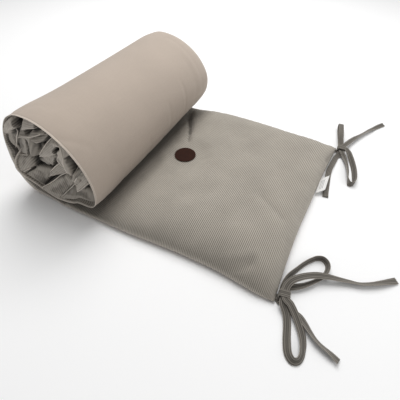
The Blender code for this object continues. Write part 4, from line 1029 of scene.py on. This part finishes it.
def fold_relief(right, up):
    """Depth of the slack folds at places x and z from the axis, which fold lies there, and how much painted
    shade the slits give it. A fold is a tilted plane that rounds off over its shoulder like a quarter circle,
    and beyond its corners' outline it falls away as a steep wall. The fold that stands out most is the one
    that shows. Each slit adds depth that rises to its full over the slit's rim, and the creases add the
    sines of their places, bent by slower waves."""
    depth = np.full(right.shape, POCKET_DEPTH)
    owner = np.full(right.shape, len(SLACK_FOLDS))
    for row, (corners, middle, fall_right, fall_up, bulge, *_) in enumerate(SLACK_FOLDS):
        corners = np.array(corners, float)
        centre = corners.mean(axis=0)
        within = np.full(right.shape, np.inf)
        for start, stop in zip(corners, np.roll(corners, -1, axis=0)):
            side = np.array((start[1] - stop[1], stop[0] - start[0])) / np.hypot(*(stop - start))
            side = side * np.sign(side @ (centre - start))
            within = np.minimum(within, (right - start[0]) * side[0] + (up - start[1]) * side[1])
        plane = middle + fall_right * (right - centre[0]) + fall_up * (up - centre[1])
        near_edge = 1 - held(within / SHOULDER)
        fold = plane + bulge * (1 - np.sqrt(1 - near_edge ** 2)) + WALL * np.clip(-within, 0, None)
        owner = np.where(fold < depth, row, owner)
        depth = np.minimum(depth, fold)
    dark = np.zeros_like(depth)
    for *line, half_width in SLITS:
        away = nearest_on(right, up, line[:2], line[2:])[1] / half_width
        depth = depth + SLIT_DEPTH * held(SLIT_WALL[0] - away) ** SLIT_WALL[1]
        dark = np.maximum(dark, held(SLIT_DARK[0] - SLIT_DARK[1] * away))
    for heading, length, deep in FOLD_CREASES:
        run = right * math.cos(math.radians(heading)) + up * math.sin(math.radians(heading))
        bent = run + CREASE_BEND * (np.sin(right / CREASE_WANDER[0]) + np.cos(up / CREASE_WANDER[1]))
        depth = depth + deep * (1 - np.abs(np.sin(bent * math.pi / length)) ** CREASE_SHARPNESS)
    return depth, owner, dark


def at_roll_end(end, right, up, depth):
    """Points at one end of the roll, from their places x and z from its axis and their depth behind the
    seam's line, all in mm."""
    y = depth * MM if end == 0 else WIDTH - depth * MM
    return np.stack([AXIS_X + right * MM, y, AXIS_Z + up * MM], axis=-1) - CENTRE


def at_quads(values, order=(0, 1, 2, 3)):
    """A grid's values at the four corners of each of its quads, one row for each quad."""
    corners = (values[:-1, :-1], values[:-1, 1:], values[1:, 1:], values[1:, :-1])
    return np.stack([corners[corner] for corner in order], axis=2).reshape(-1, 4, *values.shape[2:])


def fold_surface(end):
    """The slack folds at one end of the roll as a closed surface. A square grid is drawn out to the room's
    outline, and the relief rounds off at its rim and runs back behind the turn around it. The back is one
    flat face. A place is painted paler, partly as wear and partly as highlight, where it stands in front of
    the mean of a square around it, and darker as painted shade where it lies behind."""
    count = FOLD_GRIDS[end]
    u, v = np.meshgrid(*[np.linspace(-1, 1, count)] * 2)
    wide, tall = u * np.sqrt(1 - v * v / 2), v * np.sqrt(1 - u * u / 2)
    share = np.hypot(wide, tall)
    radius, push = outline(end, np.degrees(np.arctan2(-wide, -tall)))
    right, up = wide * radius, tall * radius
    depth, owner, dark = fold_relief(right, up)
    to_rim = 1 - held((1 - share) * radius / RIM_SHOULDER)
    depth = depth - push * share ** 2
    depth = depth + (RIM_DEPTH - depth) * (1 - np.sqrt(held(1 - to_rim ** 2)))
    points = at_roll_end(end, right, up, depth).reshape(-1, 3)
    reach = round(HOLLOW_REACH * count)
    around = np.pad(depth, reach, mode="edge").cumsum(axis=0).cumsum(axis=1)
    around = np.pad(around, ((1, 0), (1, 0)))
    wide = 2 * reach + 1
    around = (around[wide:, wide:] - around[:-wide, wide:] - around[wide:, :-wide] + around[:-wide, :-wide])
    # painted light of the folds: paler where a place stands out or its fold is marked pale, partly wear and
    # partly highlight, and painted shade where it lies back or in a slit
    pale = np.array([fold[-1] for fold in SLACK_FOLDS] + [0.0])[owner]
    wear_highlight_and_shade = np.clip((around / wide ** 2 - depth) / HOLLOW_DEPTH - HOLLOW_FROM, *HOLLOW_RANGE)
    wear_highlight_and_shade = wear_highlight_and_shade + 2 * pale * np.clip(wear_highlight_and_shade - PALE_FROM, *PALE_RANGE)
    wear_highlight_and_shade = np.minimum(wear_highlight_and_shade, PALEST - SLIT_SHADE * dark)
    index = np.arange(count * count).reshape(count, count)
    faces = at_quads(index)
    headings = np.radians([fold[-2] for fold in SLACK_FOLDS] + [90.0])
    heading = headings[owner[:-1, :-1].reshape(-1)][:, None]
    flat = np.stack([right.reshape(-1), up.reshape(-1)], axis=-1)[faces] * MM
    place = np.stack([flat[..., 0] * np.sin(heading) - flat[..., 1] * np.cos(heading),
                      flat[..., 0] * np.cos(heading) + flat[..., 1] * np.sin(heading)], axis=-1)
    rim = np.concatenate([index[0], index[1:, -1], index[-1, -2::-1], index[-2:0:-1, 0]])
    if end:
        faces, place = faces[:, ::-1], place[:, ::-1]
    else:
        rim = rim[::-1]
    return (points, faces, place, wear_highlight_and_shade.reshape(-1)), rim.tolist()


def edge_surface(edge, end):
    """A sewn edge on the folds: a thin round ridge along a smooth curve, tapered to its ends as a power of
    a sine. It lies on the higher of the folds at its two sides."""
    knots = np.array(edge, float)
    chord = length_along(knots)
    line = smooth_curve(np.linspace(0, chord[-1], max(int(chord[-1] / EDGE_STEP), 4)), chord, knots)
    radius, push = outline(end, np.degrees(np.arctan2(-line[:, 0], -line[:, 1])))
    inside = np.hypot(line[:, 0], line[:, 1]) < radius - RIM_SHOULDER / 2
    line, radius, push = line[inside], radius[inside], push[inside]
    run = unit(np.gradient(line, axis=0))
    beside = np.stack([-run[:, 1], run[:, 0]], axis=-1)
    tracks = [line + beside * offset for offset in (-EDGE_BESIDE, 0.0, EDGE_BESIDE)]
    depth = np.min([fold_relief(track[:, 0], track[:, 1])[0] for track in tracks], axis=0)
    padded = np.pad(depth, EDGE_SMOOTHED // 2, mode="edge")
    smooth = np.convolve(padded, np.full(EDGE_SMOOTHED, 1 / EDGE_SMOOTHED), mode="valid")
    share = np.hypot(line[:, 0], line[:, 1]) / radius
    middle = at_roll_end(end, *line.T, smooth - push * share ** 2)
    across = np.stack([beside[:, 0], np.zeros(len(line)), beside[:, 1]], axis=-1)
    angle = np.arange(EDGE_SIDES) * 2 * math.pi / EDGE_SIDES
    taper = np.sin(np.linspace(EDGE_TAPER[0], math.pi - EDGE_TAPER[0], len(line))) ** EDGE_TAPER[1]
    ring = across[:, None] * np.cos(angle)[:, None] + np.array((0.0, 1.0, 0.0)) * np.sin(angle)[:, None]
    points = (middle[:, None] + ring * taper[:, None, None] * EDGE_RADIUS * MM).reshape(-1, 3)
    faces = end_caps(tube_faces(len(line), EDGE_SIDES)[0], len(line), EDGE_SIDES)
    place = np.stack([points[faces][..., 0], points[faces][..., 2]], axis=-1)
    # painted highlight: the seam value 1 makes every point of a sewn edge fully pale
    return points, faces, place, np.ones(len(points))


FLAT_FACE, COTTON_BACK, SHADED_ROLLED_IN, SEWN_EDGE = range(4)        # the strip's materials, in their order


def strip_piece():
    """The whole strip as one mesh of closed surfaces: its two skins, whose grids share their rims, and at
    each end of the roll the folds and the sewn edges on them."""
    outer, inner, columns, seam = strip_skins()
    rows, count = outer.shape[:2]
    outer_index = np.arange(rows * count).reshape(rows, count)
    inner_index = outer_index.copy()
    inside = (slice(1, -1), slice(1, -1))
    inner_index[inside] = rows * count + np.arange((rows - 2) * (count - 2)).reshape(rows - 2, count - 2)
    points = np.vstack([outer.reshape(-1, 3), inner[inside].reshape(-1, 3)]) - CENTRE
    faces, place = [], []
    for index, grid, order in ((outer_index, outer, (3, 2, 1, 0)), (inner_index, inner, (0, 1, 2, 3))):
        middle = grid[:, count // 2]
        spots = np.stack(np.broadcast_arrays(length_along(middle)[:, None], columns), axis=-1)
        faces.append(at_quads(index, order))
        place.append(at_quads(spots, order))
    seam = np.concatenate([seam.reshape(-1), seam[inside].reshape(-1)])
    surfaces = [outward(points, np.vstack(faces), np.vstack(place), seam)]
    backs, sewn_faces = [], []
    for end in (0, 1):
        folds, rim = fold_surface(end)
        start = sum(len(surface[0]) for surface in surfaces)
        backs.append([corner + start for corner in rim])
        surfaces.append(folds)
        edges = joined(*[outward(*edge_surface(edge, end)) for edge in SEWN_EDGES])
        start = sum(len(surface[1]) for surface in surfaces)
        sewn_faces.append((start, start + len(edges[1])))
        surfaces.append(edges)
    points, faces, place, seam = joined(*surfaces)
    skin_quads = (rows - 1) * (count - 1)
    which = np.full(len(faces) + len(backs), SHADED_ROLLED_IN)
    which[:skin_quads] = COTTON_BACK
    which[skin_quads:][:len(FLAT_ROWS) * (count - 1)] = FLAT_FACE
    for start, stop in sewn_faces:
        which[start:stop] = SEWN_EDGE
    # the rolled-in corduroy is a darker copy, painted shade, and the sewn edges a paler cotton, painted
    # highlight
    materials = [corduroy_cloth, plain_cotton("plain_cotton", COTTON_DARK, COTTON_LIGHT),
                 corduroy("shaded_rolled_in_corduroy", SHADED_ROLLED_IN_DARK, SHADED_ROLLED_IN_LIGHT),
                 plain_cotton("highlit_sewn_edge", HIGHLIT_EDGE_DARK, HIGHLIT_EDGE_LIGHT)]
    return cloth_piece("corduroy_pad", points, faces, place, seam, materials, which, backs)


pad = strip_piece()
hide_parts("bumper_pad")


# ------------------------------------------------------------------------------------------------ patch
# A round disc cut from dark brown leather, with a pressed rim line, sewn down through the filling with
# dark thread, so that it sits in a dimple.
PATCH_RADIUS = 16.2 * MM
RIM_WIDTH = 0.7 * MM            # of the rubbed rim
PATCH_TOP = SEAT_HEIGHT + 2.25 * MM
PATCH_PROFILE = (
    # radius, height under the top, in mm
    (0.0, 0.10), (4.0, 0.06), (8.0, 0.0), (11.0, 0.0), (12.6, 0.06), (13.3, 0.20), (13.7, 0.34), (14.1, 0.20),
    (14.7, 0.05), (15.3, 0.06), (15.8, 0.22), (16.1, 0.55), (16.2, 0.95), (16.1, 1.45), (15.7, 1.78),
    (14.0, 1.80), (0.0, 1.80),
)
STITCHES = 34
STITCH_RADIUS = 13.7 * MM
STITCH_WIDTH = 0.42 * MM        # half width and height
STITCH_FILL = 0.45              # 0 fills half of the seam's length with thread, 1 fills all of it
DRAWN_IN = (0.14 * MM, 15.2 * MM)       # how far the rim is drawn in, and the radius from which it is
PATCH_STEPS = 10 * STITCHES


def patch_leather(name):
    """Dark brown leather: fine pebbled grain, mottled dye, and a paler, rubbed rim."""
    material, shader, start = empty_material(name)
    place = start.node("ShaderNodeTexCoord", output=3)
    grain = place.node("ShaderNodeTexVoronoi", None, {"Vector": place, "Scale": 1100.0})
    mottle = noise(place, 160.0, 4.0)
    rim = seam_value(start)
    colour = start.mix(mottle * 0.75 + grain * 0.3, (0.014, 0.0052, 0.0032), (0.044, 0.0165, 0.0105))
    colour = start.mix(rim * 0.5, colour, (0.080, 0.033, 0.020))
    finish_material(shader, colour, 0.66 + mottle * 0.20, relief(grain * 0.7 + mottle * 0.5, 0.5, 0.0003),
                    {"Specular IOR Level": 0.09})
    return material


def turned_disc():
    """The patch's profile turned about its upright axis, with its two poles closed. The thread's short
    stitches stand up in the pressed line, and between them the rim is drawn in a little."""
    profile = np.array(PATCH_PROFILE) * MM
    angle = np.linspace(0, 2 * math.pi, PATCH_STEPS, endpoint=False)
    rings = profile[1:-1]
    wave = np.cos(angle * STITCHES)
    radius = rings[:, 0][:, None] + DRAWN_IN[0] * wave * (rings[:, 0][:, None] > DRAWN_IN[1])
    x = PATCH_AT[0] - CENTRE[0] + radius * np.cos(angle)
    y = PATCH_AT[1] - CENTRE[1] + radius * np.sin(angle)
    upper = np.arange(len(rings)) < len(rings) - 3
    line = bell(rings[:, 0] - STITCH_RADIUS, STITCH_WIDTH) * upper
    z = PATCH_TOP - rings[:, 1][:, None] + STITCH_WIDTH * line[:, None] * held(wave + STITCH_FILL) ** 0.5
    points = np.stack([x, y, z], axis=-1).reshape(-1, 3)
    faces, index, after = tube_faces(*x.shape)
    faces = faces[:, ::-1].tolist()
    middle = (PATCH_AT[0] - CENTRE[0], PATCH_AT[1] - CENTRE[1])
    poles = [(*middle, PATCH_TOP - profile[0, 1]), (*middle, PATCH_TOP - profile[-1, 1])]
    points = np.vstack([points, poles])
    top, bottom = len(points) - 2, len(points) - 1
    faces += np.stack([index[0], after[0], np.full(PATCH_STEPS, top)], axis=-1).tolist()
    faces += np.stack([after[-1], index[-1], np.full(PATCH_STEPS, bottom)], axis=-1).tolist()
    rim = np.repeat(bell(rings[:, 0] - PATCH_RADIUS, RIM_WIDTH), PATCH_STEPS)
    return points, faces, np.concatenate([rim, [0, 0]])


patch_points, patch_faces, patch_rim = turned_disc()
patch_mesh = bpy.data.meshes.new("round_patch")
patch_mesh.from_pydata(patch_points.tolist(), [], patch_faces)
patch_mesh.materials.append(patch_leather("patch_leather"))
patch_mesh.attributes.new("seam", "FLOAT", "POINT").data.foreach_set("value", patch_rim.astype(np.float32))
patch_mesh.shade_smooth()
patch = in_scene("round_patch", patch_mesh)
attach(patch, "root")
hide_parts("leather_patch")


# ------------------------------------------------------------------------------------------------ label
# A short piece of white satin tape, folded in two and sewn into the seam of the tied end.
LABEL_WIDTH = 34 * MM
LABEL_LAYER = 0.32 * MM
LABEL_Y = 202 * MM
TAPE_THREAD = 0.5 * MM
LABEL_PROFILE = (
    # x, shift across, height, in mm: out along the upper layer, round the fold and back under it
    (317.9, -1.2, 4.9), (319.6, 0.0, 5.15), (321.8, 1.6, 6.3), (324.2, 3.6, 7.4), (326.7, 6.0, 8.05),
    (328.4, 8.1, 8.4), (328.95, 8.6, 8.2), (328.4, 8.1, 7.95), (326.7, 6.0, 7.55), (324.2, 3.6, 6.85),
    (321.8, 1.6, 5.7), (319.6, 0.0, 4.5), (317.9, -1.2, 4.3),
)
BAR_FROM, BAR_TO = 3.4 * MM, 10.2 * MM         # places of the grey bars along the tape
BAR_PITCH = 2.3 * MM
BAR_HALF_LENGTH = 11 * MM
LABEL_ROWS = 60
LABEL_COLUMNS = 24


def white_tape(name):
    """White satin tape: fine threads across, and a few plain grey bars woven into the upper layer."""
    material, shader, start = empty_material(name)
    place, along, across = cloth_place(start)
    threads = (along * (2 * math.pi / TAPE_THREAD)).math("SINE") * 0.5 + 0.5
    wear = noise(place, 200.0, 3.0)
    colour = start.mix(threads * 0.4 + wear * 0.6, (0.70, 0.69, 0.67), (0.90, 0.89, 0.87))
    bars = ((along - BAR_FROM) * (2 * math.pi / BAR_PITCH)).math("SINE").math("GREATER_THAN", 0.25)
    bars = bars * along.math("GREATER_THAN", BAR_FROM) * along.math("LESS_THAN", BAR_TO)
    bars = bars * across.math("ABSOLUTE").math("LESS_THAN", BAR_HALF_LENGTH)
    colour = start.mix(bars * 0.8, colour, (0.27, 0.27, 0.28))
    finish_material(shader, colour, 0.45 + wear * 0.2, relief(threads, 0.3, 0.0002), {"Sheen Weight": 0.2})
    return material


def tape_surface():
    """The tape as a thin closed sheet: its middle line, offset by half a layer to both sides."""
    rows = np.array(LABEL_PROFILE) * MM
    chord = length_along(rows)
    line = smooth_curve(np.linspace(0, chord[-1], LABEL_ROWS), chord, rows)
    tangent = unit(np.gradient(line[:, [0, 2]], axis=0))
    out = np.stack([-tangent[:, 1], np.zeros(len(line)), tangent[:, 0]], axis=-1)
    share = np.linspace(-0.5, 0.5, LABEL_COLUMNS)
    middle = np.stack([line[:, 0], LABEL_Y + line[:, 1], line[:, 2]], axis=-1)[:, None]
    middle = middle + share[None, :, None] * np.array((0.0, LABEL_WIDTH, 0.0)) - CENTRE
    over, under = middle + out[:, None] * LABEL_LAYER / 2, middle - out[:, None] * LABEL_LAYER / 2
    ring = np.concatenate([over, under[:, ::-1]], axis=1)
    sides = ring.shape[1]
    faces = end_caps(tube_faces(LABEL_ROWS, sides)[0], LABEL_ROWS, sides)
    length = np.linspace(0, chord[-1], LABEL_ROWS)
    across = np.concatenate([share, share[::-1]]) * LABEL_WIDTH
    spots = np.stack(np.broadcast_arrays(length[:, None], across[None, :]), axis=-1).reshape(-1, 2)
    return ring.reshape(-1, 3), faces, spots[faces], np.zeros(len(spots))


label = cloth_piece("folded_label", *outward(*tape_surface()), [white_tape("white_tape")])
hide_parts("care_label")


# ------------------------------------------------------------------------------------------- the studio
# A plain pale floor under soft light: one broad lamp above and behind the roll, and a weak one at the tied
# end.
FLOOR_HALF = 6          # metres
FLOOR_PAINT = (0.97, 0.97, 0.97, 1.0)
FLOOR_ROUGHNESS = 0.9
LAMPS = (
    # name, place, side, watts
    ("key_lamp", (-0.25, 0.60, 1.35), 1.2, 20.0),
    ("side_lamp", (1.3, 0.15, 0.75), 1.0, 4.4),
)
AIMED_AT = np.array((0.0, 0.0, 0.05))
SKY = (1.0, 1.0, 1.0, 1.0)
SKY_STRENGTH = 0.33

floor_mesh = bpy.data.meshes.new("studio_floor")
floor_corners = [(FLOOR_HALF * x, FLOOR_HALF * y, 0) for x, y in ((-1, -1), (1, -1), (1, 1), (-1, 1))]
floor_mesh.from_pydata(floor_corners, [], [(0, 1, 2, 3)])
floor_material, floor_shader = empty_material("floor_paint")[:2]
floor_shader.inputs["Base Color"].default_value = FLOOR_PAINT
floor_shader.inputs["Roughness"].default_value = FLOOR_ROUGHNESS
floor_mesh.materials.append(floor_material)
floor = in_scene("studio_floor", floor_mesh)

for lamp_name, lamp_at, lamp_side, lamp_watts in LAMPS:
    lamp_data = bpy.data.lights.new(lamp_name, "AREA")
    lamp_data.energy = lamp_watts
    lamp_data.size = lamp_side
    lamp = in_scene(lamp_name, lamp_data)
    aim = AIMED_AT - np.array(lamp_at)
    heading, dip = math.atan2(-aim[0], aim[1]), math.atan2(-aim[2], math.hypot(aim[0], aim[1]))
    lamp.matrix_world = camera_place(lamp_at, math.degrees(heading), math.degrees(dip), 0.0)

world = bpy.data.worlds.new("studio")
world.use_nodes = True
background = world.node_tree.nodes["Background"]
background.inputs["Color"].default_value = SKY
background.inputs["Strength"].default_value = SKY_STRENGTH
bpy.context.scene.world = world
bpy.context.scene.view_settings.view_transform = "Standard"
